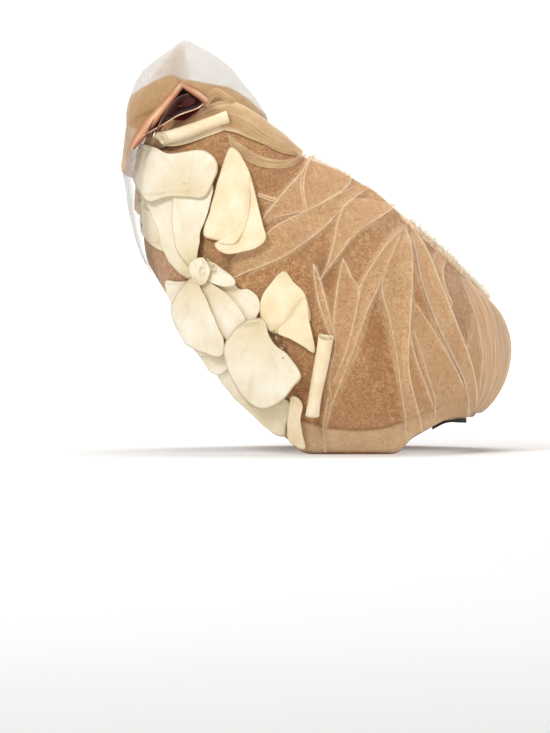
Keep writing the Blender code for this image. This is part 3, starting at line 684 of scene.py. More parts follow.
def net_finish(name, thin, thick, light, dark, edge, sparse=None, grain=0.0):
    """Tulle: a fine net whose threads, folded edges and denser parts hide more."""
    s = Shader(name, 0.8, sheen=0.35, specular=0.2)
    threads = s.net(1000)
    drift = s.noise(70, 3, 0.6)
    line = s.mark("edge")
    dense = s.mark("dense")
    tone = s.mix(s.span(drift, 0.35, 0.65), dark, light)
    tone = s.mix(dense, tone, light)
    if grain:
        mottle = s.noise(430, 5, 0.75, distortion=1.2)
        tone = s.mix(s.span(mottle, 0.38, 0.56, grain, 0.0), tone, (176, 118, 70))
    if sparse:
        tone = s.mix(s.span(dense, 0.0, 0.5), sparse, tone)
    # The edge mark paints folded edges and crests in the edge colour: partly their denser tulle, and a
    # painted highlight where that colour is lighter than the tone; on the veil it is a darker hem.
    s.colour(s.mix(line, tone, edge))
    see = s.sum(s.times(dense, thick - thin), thin)
    see = s.sum(see, s.sum(s.times(threads, 0.25), s.span(drift, 0.3, 0.7, -0.05, 0.05)))
    see = s.sum(see, s.times(line, 0.35), clamp=True)
    s.alpha(s.sum(see, s.times(s.mark("fade"), -1.0), clamp=True))
    s.bump([(threads, 0.08), (s.noise(240, 3, 0.6), 0.25)])
    return s.material


def drape_finish():
    """The tulle that lies on the felt: its threads over the felt's mottle."""
    s = Shader("tulle_on_felt", 0.88, sheen=0.35, specular=0.2)
    mottle = s.noise(420, 5, 0.75, distortion=1.2)
    broad = s.noise(26, 3, 0.5)
    threads = s.net(1100)
    crest_highlight = s.mark("edge")
    dense = s.mark("dense")
    deep = s.mix(s.span(mottle, 0.38, 0.60), (152, 98, 54), (204, 154, 104))
    tone = s.mix(s.span(broad, 0.35, 0.65, 0.0, 0.4), deep, (208, 162, 114))
    tone = s.mix(s.times(dense, 0.85), tone, (236, 196, 148))
    tone = s.mix(s.span(mottle, 0.40, 0.56, 0.5, 0.0), tone, (166, 110, 64))
    tone = s.mix(s.span(mottle, 0.54, 0.66, 0.0, 0.4), tone, (240, 204, 158))
    tone = s.mix(s.times(threads, 0.16), tone, (228, 194, 152))
    # Painted shade from the shade mark, then a painted highlight from the crest mark.
    tone = s.mix(s.mark("shade"), tone, (136, 84, 46))
    s.colour(s.mix(crest_highlight, tone, (236, 206, 168)))
    s.alpha(s.span(threads, 0, 1, 0.86, 1.0))
    s.bump([(mottle, 0.3), (threads, 0.1)])
    return s.material


def petal_finish():
    """Cream silk with faint streaks from the root and a darker edge."""
    s = Shader("silk_petal_cream", 0.62, sheen=0.25, specular=0.3)
    s.bsdf.inputs["Subsurface Weight"].default_value = 0.12
    s.bsdf.inputs["Subsurface Radius"].default_value = (0.002, 0.0015, 0.001)
    streak = s.streaks(9.0, 0.8, 2.0)
    cloud = s.noise(60, 3, 0.6)
    weave = s.noise(1500, 2, 0.6)
    pale = s.mix(s.span(cloud, 0.35, 0.65), (246, 238, 218), (238, 224, 196))
    tone = s.mix(s.span(s.mark("root"), 0.0, 0.5, 0.75, 0.0), pale, (222, 200, 148))
    tone = s.mix(s.span(streak, 0.5, 0.72, 0.0, 0.28), tone, (214, 196, 154))
    s.colour(s.mix(s.span(s.mark("rim"), 0.955, 0.99, 0.0, 0.75), tone, (204, 178, 128)))
    s.bump([(streak, 0.35), (cloud, 0.3), (weave, 0.06)])
    return s.material


def leaf_finish():
    """Soft butter-coloured cloth with flecks."""
    s = Shader("flannel_leaf_butter", 0.9, sheen=0.5, specular=0.15)
    rim, root = s.mark("rim"), s.mark("root")
    cloud = s.noise(75, 4, 0.6)
    nap = s.noise(900, 3, 0.7)
    pale = s.mix(s.span(cloud, 0.35, 0.65), (250, 234, 202), (240, 218, 176))
    tone = s.mix(s.span(root, 0.0, 0.35, 0.35, 0.0), pale, (216, 200, 150))
    tone = s.mix(s.span(s.noise(330, 2, 0.7), 0.68, 0.76, 0.0, 0.5), tone, (196, 158, 104))
    s.colour(s.mix(s.span(rim, 0.96, 0.99, 0.0, 0.5), tone, (200, 172, 120)))
    s.bump([(cloud, 0.35), (nap, 0.15)])
    return s.material


def satin_finish():
    """Copper satin, with painted shade inside and a painted highlight on its rims."""
    s = Shader("satin_copper", 0.3, sheen=0.2, specular=0.6, metallic=0.55, anisotropic=0.6)
    weave = s.noise(1.0, 2, 0.5, s.stretched((90, 90, 2600)))
    drift = s.noise(45, 3, 0.5)
    inner = s.mark("inner")
    tone = s.mix(s.span(drift, 0.35, 0.65), (176, 100, 62), (212, 142, 98))
    # Painted shade from the inner mark, then a painted highlight from the rim mark.
    tone = s.mix(s.span(inner, 0.0, 1.0), tone, (96, 32, 24))
    s.colour(s.mix(s.mark("rim"), tone, (252, 214, 178)))
    s.bump([(weave, 0.02), (drift, 0.4)])
    return s.material


def plain_finish(name, first, second, scale, roughness, sheen=0.2, depth=0.2):
    s = Shader(name, roughness, sheen=sheen, specular=0.25)
    grain = s.noise(scale, 4, 0.65)
    s.colour(s.mix(s.span(grain, 0.35, 0.65), first, second))
    s.bump([(grain, depth)])
    return s.material


def band_finish():
    s = Shader("grosgrain_black", 0.75, sheen=0.1, specular=0.2)
    ribs = s.node("ShaderNodeTexWave", wave_type="BANDS", bands_direction="DIAGONAL")
    s.link(s.where, ribs.inputs["Vector"])
    ribs.inputs["Scale"].default_value = 380
    s.colour(s.mix(ribs.outputs["Fac"], (6, 5, 5), (24, 20, 19)))
    s.bump([(ribs.outputs["Fac"], 0.25), (s.noise(1200), 0.05)])
    return s.material


def gather_finish():
    """The wound tulle at the back: long streaks from edge to edge."""
    s = Shader("tulle_gathered", 0.85, sheen=0.35, specular=0.2)
    ridge = s.mark("ridge")
    fine = s.streaks(60.0, 1.4, 2.2, 4.0)
    # Painted light and shade on the pleats: lighter on the ridges, darker between them.
    tone = s.mix(s.span(ridge, 0.0, 1.0), (168, 114, 72), (230, 190, 146))
    tone = s.mix(s.span(fine, 0.42, 0.66, 0.0, 0.8), tone, (248, 220, 184))
    tone = s.mix(s.span(fine, 0.30, 0.42, 0.6, 0.0), tone, (150, 98, 60))
    s.colour(tone)
    s.bump([(fine, 0.5), (s.noise(1200), 0.1)])
    return s.material


FELT_MAT = felt_finish()
DRAPE_MAT = drape_finish()
FOLD_MAT = net_finish("tulle_fold", 0.08, 0.66, (252, 212, 162), (238, 190, 136), (255, 238, 210), grain=0.75)
SWAG_MAT = net_finish("tulle_swag", 0.42, 0.85, (216, 180, 132), (188, 146, 98), (236, 208, 170))
POUF_OUTER_MAT = net_finish(
    "tulle_pouf_outer", 0.30, 0.70, (206, 166, 116), (188, 148, 98), (214, 188, 152), sparse=(200, 188, 174)
)
POUF_INNER_MAT = net_finish("tulle_pouf_inner", 0.34, 0.84, (206, 164, 112), (182, 140, 90), (228, 196, 150))
VEIL_MAT = net_finish("tulle_veil", 0.30, 0.6, (190, 182, 172), (176, 168, 158), (140, 132, 124))
GATHER_MAT = gather_finish()
PETAL_MAT = petal_finish()
LEAF_MAT = leaf_finish()
SATIN_MAT = satin_finish()
BAND_MAT = band_finish()
RIM_MAT = plain_finish("rim_frayed", (255, 240, 212), (216, 172, 122), 700, 0.9, 0.5, 0.4)
THREAD_MAT = plain_finish("rim_thread", (255, 252, 242), (250, 232, 204), 1500, 0.85, 0.4, 0.15)
STAMEN_MAT = plain_finish("stamen_olive", (176, 160, 92), (98, 88, 44), 900, 0.7, 0.2, 0.2)


def near_line(points, line):
    """The distance from points to a line of points, and the share of the way along it."""
    best = np.full(len(points), 1e9)
    share = np.zeros(len(points))
    for k in range(len(line) - 1):
        a, b = line[k], line[k + 1]
        t = np.clip(((points - a) @ (b - a)) / max((b - a) @ (b - a), 1e-9), 0, 1)
        away = np.linalg.norm(points - (a + t[:, None] * (b - a)), axis=1)
        nearer = away < best
        best[nearer] = away[nearer]
        share[nearer] = ((k + t) / (len(line) - 1))[nearer]
    return best, share


def relief(u, v, far):
    """How far the drape stands off the felt, the painted highlight on its crests, and how light its denser
    panels look.
    """
    spots = felt(np.abs(u), v)[..., [0, 2]].reshape(-1, 2)
    height, crest_highlight, dense = np.zeros((3, len(spots)))
    for fold in FOLDS:
        if far and not fold.far:
            continue
        left, right = curve(seen(fold.left), EDGE_STEPS), curve(seen(fold.right), EDGE_STEPS)
        away_left, at = near_line(spots, left)
        away_right, _ = near_line(spots, right)
        span = np.linalg.norm(left - right, axis=1)
        wide = np.interp(at, np.linspace(0, 1, EDGE_STEPS), span) + 0.5
        within = smooth(wide + 1.0 - (away_left + away_right)) * (wide > 1.0)
        ends = smooth(at / 0.06) * smooth((1 - at) / 0.06)
        near = np.minimum(away_left, away_right)
        height = np.maximum(height, fold.rise * ends * bell(near, RIDGE_WIDE))
        crest_highlight = np.maximum(crest_highlight, 0.5 * ends * bell(near, 2 * EDGE_WIDE))
        dense = np.maximum(dense, within * fold.dense)
    return (part.reshape(np.shape(u)) for part in (height, crest_highlight, dense))


def flat_foot(z):
    """The lower edge's heights, flattened where the hat rests."""
    return z * smooth((z - REST_SNAP) / REST_BLEND)


def make_felt():
    """The felt ring with its rolled cuff, as one fine closed skin."""
    u, v = down(240, -1, 1, endpoint=False), across(44, 0, 1) ** 1.25
    thick = CUFF_THICK + (FELT_THICK - CUFF_THICK) * smooth((v - 0.05) / 0.08)
    outer, inner = felt(u, v), raised(u, v, -thick)
    outer[:, 0, 2] = flat_foot(outer[:, 0, 2])
    inner[:, 0, 2] = outer[:, 0, 2]
    away = (outer[:, 0] - inner[:, 0]) / CUFF_THICK
    outer[:, 0] -= away * CUFF_ROUND[0]
    inner[:, 0] += away * CUFF_ROUND[0]
    outer[:, 1] -= away * CUFF_ROUND[1]
    waves = ripple(inner, 14.0, 3.0)[..., None] * 0.25
    inner[:, 1:] += (normal(u, v) * waves)[:, 1:]
    for face in (inner, outer):
        face[..., 2] = np.maximum(face[..., 2], 0.0)
    made = shell_piece("felt_body", outer, inner, {}, FELT_MAT, closed=True)
    dress(made, "felt", "felt_base", flat=(0.16, 0.70), held="stretched")


def make_drape():
    """The tulle laid over the felt, with its folds standing off."""
    near, far = 300, 150
    share = np.concatenate([-np.linspace(1, 0, far, endpoint=False), np.linspace(0, 1, near)])[:, None]
    v = np.concatenate([np.linspace(0.0, 0.08, 12, endpoint=False), np.linspace(0.08, 1.0, 88)])[None, :]
    u = share * (DRAPE_REACH[0] + (DRAPE_REACH[1] - DRAPE_REACH[0]) * v)
    v = v * np.ones_like(u)
    sides = zip(relief(u[:far], v[:far], True), relief(u[far:], v[far:], False))
    height, crest_highlight, dense = (np.concatenate(side) for side in sides)
    edges = smooth((v - 0.01) / 0.05) * smooth((1 - v) / 0.03)
    wave = ripple(felt(u, v), 11.0, 7.0) * 0.5 + ripple(felt(u, v), 4.0, 1.0) * 0.2
    points = raised(u, v, DRAPE_LIFT + (height * 0.8 + np.maximum(wave, -0.4)) * edges)
    points -= normal(u, v) * (smooth(1 - v / 0.02) * (DRAPE_LIFT + 1.2))[..., None]
    low = felt(u[:, :1], 0.0)[..., 2]
    points[..., 2] -= (low - flat_foot(low)) * smooth(1 - v / 0.06)
    points[..., 2] = np.maximum(points[..., 2], 0.15)
    side = smooth((np.abs(u) - 0.36) / 0.06) * smooth((0.82 - np.abs(u)) / 0.06)
    hem = side * smooth((HEM_TOP - v) / 0.012)
    # Painted shade: a dark line along the top of the doubled hem, and the spots of painted shade, go into the
    # shade mark.
    line = side * bell(v - HEM_TOP, 0.006) * 0.6
    streaks = ripple(stacked(u * 26, v * 4), 1.0, 2.0)
    flat = felt(np.abs(u), v)[..., [0, 2]]
    for spot in SHADES:
        away = (flat - seen((spot.x, spot.y))) / (np.array([spot.across, spot.down]) * PIXEL)
        line = np.maximum(line, spot.much * np.exp(-(away**2).sum(axis=-1)))
    dense = np.maximum(dense, hem * (0.75 + 0.5 * streaks))
    # A painted highlight in streaks along the doubled hem.
    crest_highlight = np.maximum(crest_highlight, hem * (0.5 + 0.5 * smooth((streaks - 0.1) / 0.3)))
    marks = {"edge": crest_highlight * 0.7, "dense": np.clip(dense, 0, 1), "shade": line}
    made = grid_piece("tulle_drape_net", points, marks, DRAPE_MAT)
    dress(made, "tulle", "tulle_drape")
    return made


def fold_grid(fold, long, wide, base):
    """Where a translucent fold lies on the felt, its height and the light line of its edges, partly denser
    tulle and partly a painted highlight.
    """
    left, right = curve(seen(fold.left), long), curve(seen(fold.right), long)
    s = 0.5 - 0.5 * np.cos(math.pi * across(wide, 0, 1))
    spots = between(left, right, s)
    u, v = locate(spots)
    t = down(long, 0, 1)
    ends = smooth(t / 0.10) * smooth((1 - t) / 0.10)
    lift = base + fold.rise * ends * (1 - 0.55 * np.sin(math.pi * s) ** 2) + 0.3
    span = np.linalg.norm(left - right, axis=1)[:, None]
    edge = bell(s * span, EDGE_WIDE) + bell((1 - s) * span, EDGE_WIDE)
    edge *= 0.75 + 0.25 * ripple(spots, 12.0, 5.0)
    return u, v, lift, np.clip(edge, 0, 1)


def make_folds(drape):
    """The drape's folds as translucent panels, on both sides."""
    pieces = []
    for side, name in ((1, "tulle_folds_near"), (-1, "tulle_folds_far")):
        cloth = Joined()
        chosen = [fold for fold in FOLDS if side > 0 or fold.far]
        for k, fold in enumerate(chosen):
            u, v, lift, line = fold_grid(fold, 60, 17, DRAPE_LIFT + FOLD_STEP * (k % 3))
            height, _, _ = relief(u, v, side < 0)
            lift = np.maximum(lift, DRAPE_LIFT + 0.8 * height + 0.35)
            cloth.add(raised(u, v, lift) * (1, side, 1), edge=line, dense=fold.dense)
        pieces.append(cloth.piece(name, FOLD_MAT))
        dress(pieces[-1], "tulle")


def make_gather():
    """Tulle wound and gathered round the back."""
    share, v = down(420, -1, 1), across(56, 0, 1)
    low, top = 1 - GATHER_LOW, 1 - GATHER_TOP
    height = 0.035 + v * 0.955
    u = 1.0 + share * (low + (top - low) * height)
    mix = stacked(share * 60, v * 3 + share * 1.5)
    ridge = ripple(mix, 2.6, 5.0) * 0.6 + ripple(mix, 1.1, 9.0) * 0.4
    edge = smooth((1 - np.abs(share)) * 4)
    swell = np.sqrt(np.clip(np.sin(math.pi * v), 0, 1))
    pleats = ridge * 1.5 * (0.3 + 0.7 * edge) * smooth(v * 8) * smooth((1 - v) * 8)
    points = raised(u, height, GATHER_FLOOR + (0.4 + GATHER_THICK * edge * swell + pleats))
    # The ridge mark paints the pleats lighter on their ridges and darker between them, as painted light and
    # shade.
    marks = {"ridge": np.clip(ridge * 0.9 + 0.5, 0, 1), "fan": share * 4, "root": v}
    made = grid_piece("tulle_gather_back", points, marks, GATHER_MAT)
    dress(made, "tulle", "tulle_back_gather", flat=(0.10, 0.16), held="gathered", rests_on=["felt_body"])


def pouf_base(a):
    """The pouf's lower edge at angle a: on the felt's rim, then straight across the crown."""
    front = felt(0.0, 1.0)[0]
    middle, reach = (front + POUF_CROSS) / 2, (front - POUF_CROSS) / 2
    x = middle + reach * np.cos(a)
    tries = np.linspace(0, 1, 201)
    u = np.interp(np.minimum(x, POUF_BACK), felt(tries, 1.0)[:, 0], tries)
    rim = felt(u, 1.0) - normal(u, 1.0) * 0.6
    turned = np.arccos(np.clip((x - middle) / reach, -1, 1))
    edge = math.acos((POUF_BACK - middle) / reach)
    behind = x > POUF_BACK
    share = np.where(behind, (math.pi - turned) / (math.pi - edge), 1.0)
    side = np.where(a <= math.pi, -1.0, 1.0)
    y = side * np.abs(rim[:, 1]) * share
    return np.stack([np.where(behind, x, rim[:, 0]), y, rim[:, 2] + 1.9], axis=-1)


def pouf_points(a, rise):
    """Points of the pouf at these angles, this share of the way up to its tip."""
    base = pouf_base(a)
    z = base[:, None, 2] + (POUF_LEVELS[-1].z - base[:, None, 2]) * rise[None, :]
    front, back, half = pouf_level(z)
    x = (front + back) / 2 - (back - front) / 2 * np.cos(a)[:, None]
    points = np.stack([x, -half * np.sin(a)[:, None], z], axis=-1)
    blend = smooth(rise / 0.08)[None, :, None]
    return base[:, None, :] * (1 - blend) + points * blend


def pouf_level(z):
    """The pouf's front, back and half width at these heights."""
    levels = np.array(POUF_LEVELS, float)
    return (np.interp(z, levels[:, 0], levels[:, k]) for k in (1, 2, 3))


def make_pouf():
    """The standing puff: a thin outer layer, and a denser one folded over at its edge inside it."""
    sides, rows = 180, 60
    a = np.linspace(0, 2 * math.pi, sides, endpoint=False)
    rise = np.linspace(0, 1, rows)
    points = pouf_points(a, rise)
    out = unit(points - POUF_CENTRE)
    round_it = np.stack([np.cos(a) * 30, np.sin(a) * 30], axis=-1)[:, None, :]
    creases = ripple(round_it, 7.0, 2.0) * 0.9
    wave = ripple(points, 16.0, 4.0) * 0.8
    shape = (creases + wave) * smooth(rise / 0.15)[None, :] * smooth((1 - rise) / 0.2)[None, :]
    points = points + out * shape[..., None]
    fold_z = np.interp(np.cos(a), *np.array(POUF_FOLD).T)
    below = smooth((fold_z[:, None] - points[..., 2]) / 5.0)
    # A painted highlight on the outward crests of the creases; denser below the fold where the inner layer
    # lies behind.
    marks = {"edge": 0.35 * bell(shape - 0.9, 0.3), "dense": 0.75 * below}
    outer = grid_piece("tulle_pouf_outer", points, marks, POUF_OUTER_MAT, closed=True)
    dress(outer, "tulle", "tulle_pouf")
    rise = np.linspace(0, 1, 44)
    base = pouf_base(a)
    peak = (fold_z - base[:, 2]) / (POUF_LEVELS[-1].z - base[:, 2])
    inner = np.stack([pouf_points(a[k : k + 1], rise * peak[k])[0] for k in range(sides)])
    inward = unit(inner - POUF_CENTRE)
    pleat = ripple(round_it, 4.0, 8.0)
    depth = (2.2 + 0.9 * pleat * rise[None, :])[..., None]
    tucked = inner - inward * depth * smooth(rise / 0.2)[None, :, None]
    # A light line at the folded top edge, partly denser tulle and partly a painted highlight, and a painted
    # highlight on the pleats' crests.
    edge = 0.8 * smooth((rise - 0.965) / 0.03)[None, :] + 0.25 * smooth((pleat - 0.2) / 0.3)
    marks = {"edge": np.clip(edge, 0, 1), "dense": np.clip(0.45 + 0.25 * pleat, 0, 1)}
    layer = grid_piece("tulle_pouf_inner", tucked, marks, POUF_INNER_MAT, closed=True)
    dress(layer, "tulle")
    strip = make_pouf_strip()


def make_pouf_strip():
    """The tan strip that runs up the middle of the pouf to its tip."""
    s, t = across(14, 0, 1), down(40, 0, 1)
    left, right = (curve(seen(side), 40) for side in POUF_STRIP)
    spots = between(left, right, s)
    front, back, half = pouf_level(spots[..., 1])
    reach = np.clip((2 * spots[..., 0] - front - back) / (back - front), -1, 1)
    y = -half * np.sqrt(1 - reach**2) + 1.2
    points = np.stack([spots[..., 0], y, np.minimum(spots[..., 1], POUF_LEVELS[-1].z - 0.4)], axis=-1)
    fade = 0.62 - 0.62 * np.sin(math.pi * s) ** 0.7 * smooth((1 - t) / 0.3)
    line = np.exp(-(((s - 0.12) * 9) ** 2)) * 0.35 * smooth(t / 0.2)
    marks = {"edge": line, "dense": 0.3, "fade": fade}
    made = grid_piece("tulle_pouf_strip", points, marks, POUF_INNER_MAT)
    dress(made, "tulle")
    return made


def make_swag():
    """The roll of tulle under the bow with its overlapping folds, on both sides."""
    s, t = across(15, 0, 1), down(70, 0, 1)
    wave = ripple(stacked(s * 9, t * 6), 2.0, 6.0)
    # Light lines along both edges and on the wave crests: a painted highlight, partly the denser folded
    # edges.
    line = bell(s, 0.1) * 0.8 + bell(1 - s, 0.1) * 0.6 + 0.35 * smooth((wave - 0.25) / 0.2)
    sides = (
        (1, "tulle_swag_near", SWAGS, {"node": "tulle_swag", "flat": (0.03, 0.16)}),
        (-1, "tulle_swag_far", SWAGS[:1], {"flat": (0.02, 0.15)}),
    )
    for side, name, rows, said in sides:
        cloth = Joined()
        for row in rows:
            upper, lower = curve(seen(row.upper), 70), curve(seen(row.lower), 70)
            u, v = locate(between(upper, lower, s))
            lift = row.lift * (0.5 + 0.5 * np.sin(math.pi * s)) + wave * 0.6
            lift *= smooth((1 - t) / 0.12) * 0.7 + 0.3
            grid = raised(np.maximum(u, 0.0), v, np.maximum(lift, DRAPE_LIFT + 0.3)) * (1, side, 1)
            cloth.add(grid, edge=np.clip(line, 0, 1), dense=row.dense + 0.2 * wave)
        made = cloth.piece(name, SWAG_MAT)
        dress(made, "tulle", **ON_DRAPE, **said)


def make_veil():
    """A single layer of tulle in front of the flowers."""
    share, v = down(60, -1, 1), across(80, VEIL[0][0], VEIL[-1][0])
    lift = np.interp(v, *np.array(VEIL).T) + ripple(stacked(share * 8, v * 10), 2.0, 1.0) * 0.8
    points = raised(share * VEIL_REACH, v, lift - 0.4)
    hem = (0.9 * bell(v - 0.10, 0.012) + 0.4 * (np.abs(share) > 0.97)) * smooth((share + 1) / 0.4)
    marks = {"edge": np.clip(hem, 0, 1), "dense": 0.1, "fade": 0.8 * smooth((-0.45 - share) / 0.55)}
    made = grid_piece("tulle_front_veil", points, marks, VEIL_MAT)
    dress(made, "tulle", "front_veil", flat=(0.075, 0.12), held="hung", rests_on=["felt_body"])


def make_apron():
    """The tan tulle that comes down in front of the felt below the pouf."""
    share, v = down(70, -1, 1), across(40, APRON[0][0], APRON[-1][0])
    wave = ripple(stacked(share * 12, v * 8), 1.6, 3.0)
    lift = np.interp(v, *np.array(APRON).T) * (1 - 0.35 * np.abs(share) ** 3) + wave * 1.0
    points = raised(share * APRON_REACH, v, lift)
    # A light line at the lower edge and on the wave crests: a painted highlight, partly the denser edge.
    line = 0.8 * bell(v - APRON[0][0], 0.01) + 0.35 * smooth((wave - 0.2) / 0.25)
    fade = smooth((share - 0.55) / 0.45) * smooth((0.9 - v) / 0.1)
    fade = np.maximum(fade, 0.9 * smooth((APRON[0][0] + 0.05 - v) / 0.05) * smooth((share + 0.2) / 0.2))
    line *= 1 - smooth((np.abs(share) - 0.4) / 0.4)
    marks = {"edge": np.clip(line, 0, 1), "dense": 0.45 + 0.3 * wave, "fade": fade}
    made = grid_piece("tulle_front_apron", points, marks, POUF_INNER_MAT)
    dress(made, "tulle", flat=(0.055, 0.08), held="gathered", rests_on=["felt_body"])


def blade_piece(row, index, named=True):
    """A petal or leaf from its outline: a dished, slightly waved sheet with a turned edge."""
    around, rings = 84, 14
    outline = curve(seen(row.outline), around, closed=True)
    centre = outline.mean(axis=0)
    root = seen(row.root)
    r = across(rings, 0.02, 1.0)
    spots = centre + (outline[:, None, :] - centre) * r[..., None]
    u, v = locate(spots)
    from_root = np.linalg.norm(spots - root, axis=-1)
    reach = from_root.max()
    turn = np.arctan2(spots[..., 1] - root[1], spots[..., 0] - root[0])
    wave = ripple(spots, 9.0, index * 3.7) * 0.7 + ripple(spots, 4.0, index * 1.9) * 0.25
    lobes = ripple(outline, 8.0, index * 2.3)[:, None]
    lift = PETAL_FLOOR + row.layer * PETAL_PITCH + row.cup * (0.55 * r**2 + 0.35 * from_root / reach)
    lift += wave * (0.3 + 0.7 * r) + row.curl * np.clip(lobes + 0.25, 0, 1) * smooth((r - 0.62) / 0.38)
    lift = np.maximum(lift, PETAL_FLOOR - 0.3)
    outer, inner = raised(u, v, lift + PETAL_THICK), raised(u, v, lift)
    marks = {"fan": turn / math.pi, "root": from_root / reach, "rim": r, "seed": index}
    slot, finish = ("leaf", LEAF_MAT) if row.kind == "leaf" else ("silk", PETAL_MAT)
    made = shell_piece(row.name + "_cloth", outer, inner, marks, finish, closed=True, capped=True)
    arms = np.linalg.norm(np.diff(outer, axis=1), axis=-1).sum(axis=1) * MM
    spans = np.sort(arms[: around // 2] + arms[around // 2 :])
    width, length = spans[around // 12], spans[-around // 12]
    said = {"flat": (width, length), "area": PETAL_FILL * width * length}
    dress(made, slot, row.name if named else None, **ON_DRAPE, **said)


def scroll_piece(row):
    """A leaf wound into an open spiral with its free edge as a flap."""
    start, end = seen(row.start), seen(row.end)
    t = down(28, 0, 1)
    u, v = locate(start + (end - start) * t)
    out = normal(u, v)
    run = np.array([end[0] - start[0], 0.0, end[1] - start[1]])
    run = run - out * (out @ run)[:, None]
    aside = unit(np.cross(run, out))
    if aside[0, 0] * row.toward[0] + aside[0, 2] * row.toward[1] < 0:
        aside = -aside
    run = unit(run)
    centre = raised(u, v, PETAL_FLOOR + row.radius + row.cut * 0.7 * np.exp(-t[:, 0] * 6))[:, None, :]
    turn = across(56, 0, row.turns * 2 * math.pi)
    taper = 1 + 0.10 * np.sin(t * math.pi * 2) + row.cut * 0.03 * np.exp(-t * 8)
    frill = 0.12 * np.sin(turn * 1.7) * (np.exp(-t * 14) + np.exp(-(1 - t) * 14))
    out, aside = out[:, None, :], aside[:, None, :]
    wound = out * np.cos(turn)[..., None] + aside * np.sin(turn)[..., None]
    reach = across(6, row.flap, 1.0)[..., None]
    grids = []
    for inset in (0.0, LEAF_THICK):
        radius = row.radius * (1 - 0.45 * turn / turn[0, -1]) * taper * (1 + frill) - inset
        spiral = centre - radius[..., None] * wound
        flap = centre - out * (row.radius - inset) + aside * reach
        grid = np.concatenate([flap, spiral], axis=1)
        toward_eye = -(grid - centre)[..., 1] / row.radius
        cut = np.exp(-t * 7) * row.cut * np.clip(toward_eye, -0.5, 1.0)
        grids.append(grid + run[:, None, :] * cut[..., None])
    rim = np.zeros(grids[0].shape[:2])
    rim[[0, -1], :] = 1.0
    rim[:, 0] = 1.0
    marks = {"rim": rim, "root": 0.6, "fan": 0.6, "seed": 0.6}
    made = shell_piece(row.name + "_cloth", *grids, marks, LEAF_MAT)
    length = float(np.linalg.norm(end - start)) * MM
    width = (row.flap + row.radius * 0.78 * turn[0, -1]) * MM
    dress(made, "leaf", row.name, flat=(width, length), **ON_DRAPE)


def bow_hem():
    """The folded satin hems at the two upper edges of the near loop's mouth, and a disc of painted shade
    inside the mouth.
    """
    cloth = Joined()
    s = across(11, 0, 1)
    for outer, inside, depths in HEMS:
        flat = between(curve(seen(outer), 44), curve(seen(inside), 44), s)
        y = np.interp(down(44, 0, 1), (0, 1), depths)
        y = y - 0.9 * np.sin(math.pi * s) - ripple(flat, 7.0, 6.0) * 0.5
        glint = bell(s - 0.4, 0.24) * (0.6 + 0.6 * ripple(flat, 9.0, 2.0))
        grid = np.stack([flat[..., 0], y, flat[..., 1]], axis=-1)
        # A painted glint along each hem, and painted shade toward its inner edge.
        cloth.add(grid, rim=np.clip(glint, 0, 1), inner=smooth((s - 0.62) / 0.38) * 0.7)
    # A closed disc of painted shade behind the mouth.
    turn = down(40, 0, 2 * math.pi, endpoint=False)
    reach, deep = np.array([[1.0, 0.5, 0.06]]), np.array([[0.0, 1.5, 3.0]])
    x, z = np.cos(turn) * SHADE_DISC_WIDE * reach, np.sin(turn) * SHADE_DISC_HIGH * reach
    x, y, z = np.broadcast_arrays(x, deep, z)
    shade_disc = np.array(BOW_KNOT, float) + SHADE_DISC_SHIFT + np.stack([x, y, z], axis=-1)
    cloth.add(shade_disc, closed=True, rim=0.0, inner=1.0)
    made = cloth.piece("satin_bow_hem", SATIN_MAT)
    dress(made, "satin", flat=(0.012, 0.10), held="folded", rests_on=["satin_bow_loop_near_cloth"])


def make_bow():
    """Two loops of satin, each with an open mouth, and the folded edge inside the near one."""
    mouth = curve(np.array(BOW_MOUTH, float), 90, closed=True)
    knot, centre = np.array(BOW_KNOT, float), mouth.mean(axis=0)
    share = across(16, 0, 1)
    along = np.roll(mouth, -1, axis=0) - np.roll(mouth, 1, axis=0)
    inward = np.stack([along[:, 2], np.zeros(len(mouth)), -along[:, 0]], axis=-1)
    inward = unit(inward)[:, None, :]
    toward = (mouth - centre)[:, None, :] * (1 - 0.5 * share**1.3)[..., None]
    at = toward + centre + (knot - centre) * share[..., None]
    at[..., 1] = mouth[:, None, 1] * (1 - share) + knot[1] * share
    crumple = ripple(at, 7.0, 2.0)[..., None] * inward * 0.8 * np.sin(math.pi * share)[..., None]
    # A painted highlight round the mouth's rim; the inner face has painted shade, deeper toward the knot.
    rim = np.exp(-((share * 12) ** 2)) * 0.8
    outside, inside = {"rim": rim, "inner": 0.0}, {"rim": rim, "inner": 0.35 + 0.65 * smooth(share / 0.3)}
    for name, flip in (("satin_bow_loop_near", 1), ("satin_bow_loop_far", -1)):
        grids = [(at + inward * inset + crumple) * (1, flip, 1) for inset in (0.0, SATIN_THICK)]
        made = shell_piece(name + "_cloth", *grids, outside, SATIN_MAT, closed=True, inner_marks=inside)
        dress(made, "satin", name, flat=(0.016, 0.12), held="folded", rests_on=["tulle_pouf_outer"])
    bow_hem()
    cloth = Joined()
    s = across(8, 0, 1)
    # A painted highlight along each fold's edge, with painted shade away from that edge.
    rim = bell(s, 0.2)
    for line, depth in BOW_FOLDS:
        path = curve(seen(line), 30)[:, None, :]
        x, y, z = np.broadcast_arrays(path[..., 0] + s * 2.2, depth + s * 7.0, path[..., 1] - s * 2.0)
        cloth.add(np.stack([x, y, z], axis=-1), rim=rim * 0.7, inner=0.8 - rim * 0.8)
    made = cloth.piece("satin_bow_fold_cloth", SATIN_MAT)
    on = ["satin_bow_loop_near_cloth"]
    dress(made, "satin", "satin_bow_fold", flat=(0.011, 0.05), held="folded", rests_on=on)


def rim_at(u):
    """The rolled rim's middle at u, and the ways out of the felt and up along it there."""
    out, edge = normal(u, 1.0), felt(u, 1.0)
    up = unit(edge - felt(u, 0.97))
    return edge + out * RIM_OUT + up * RIM_UP, out, up


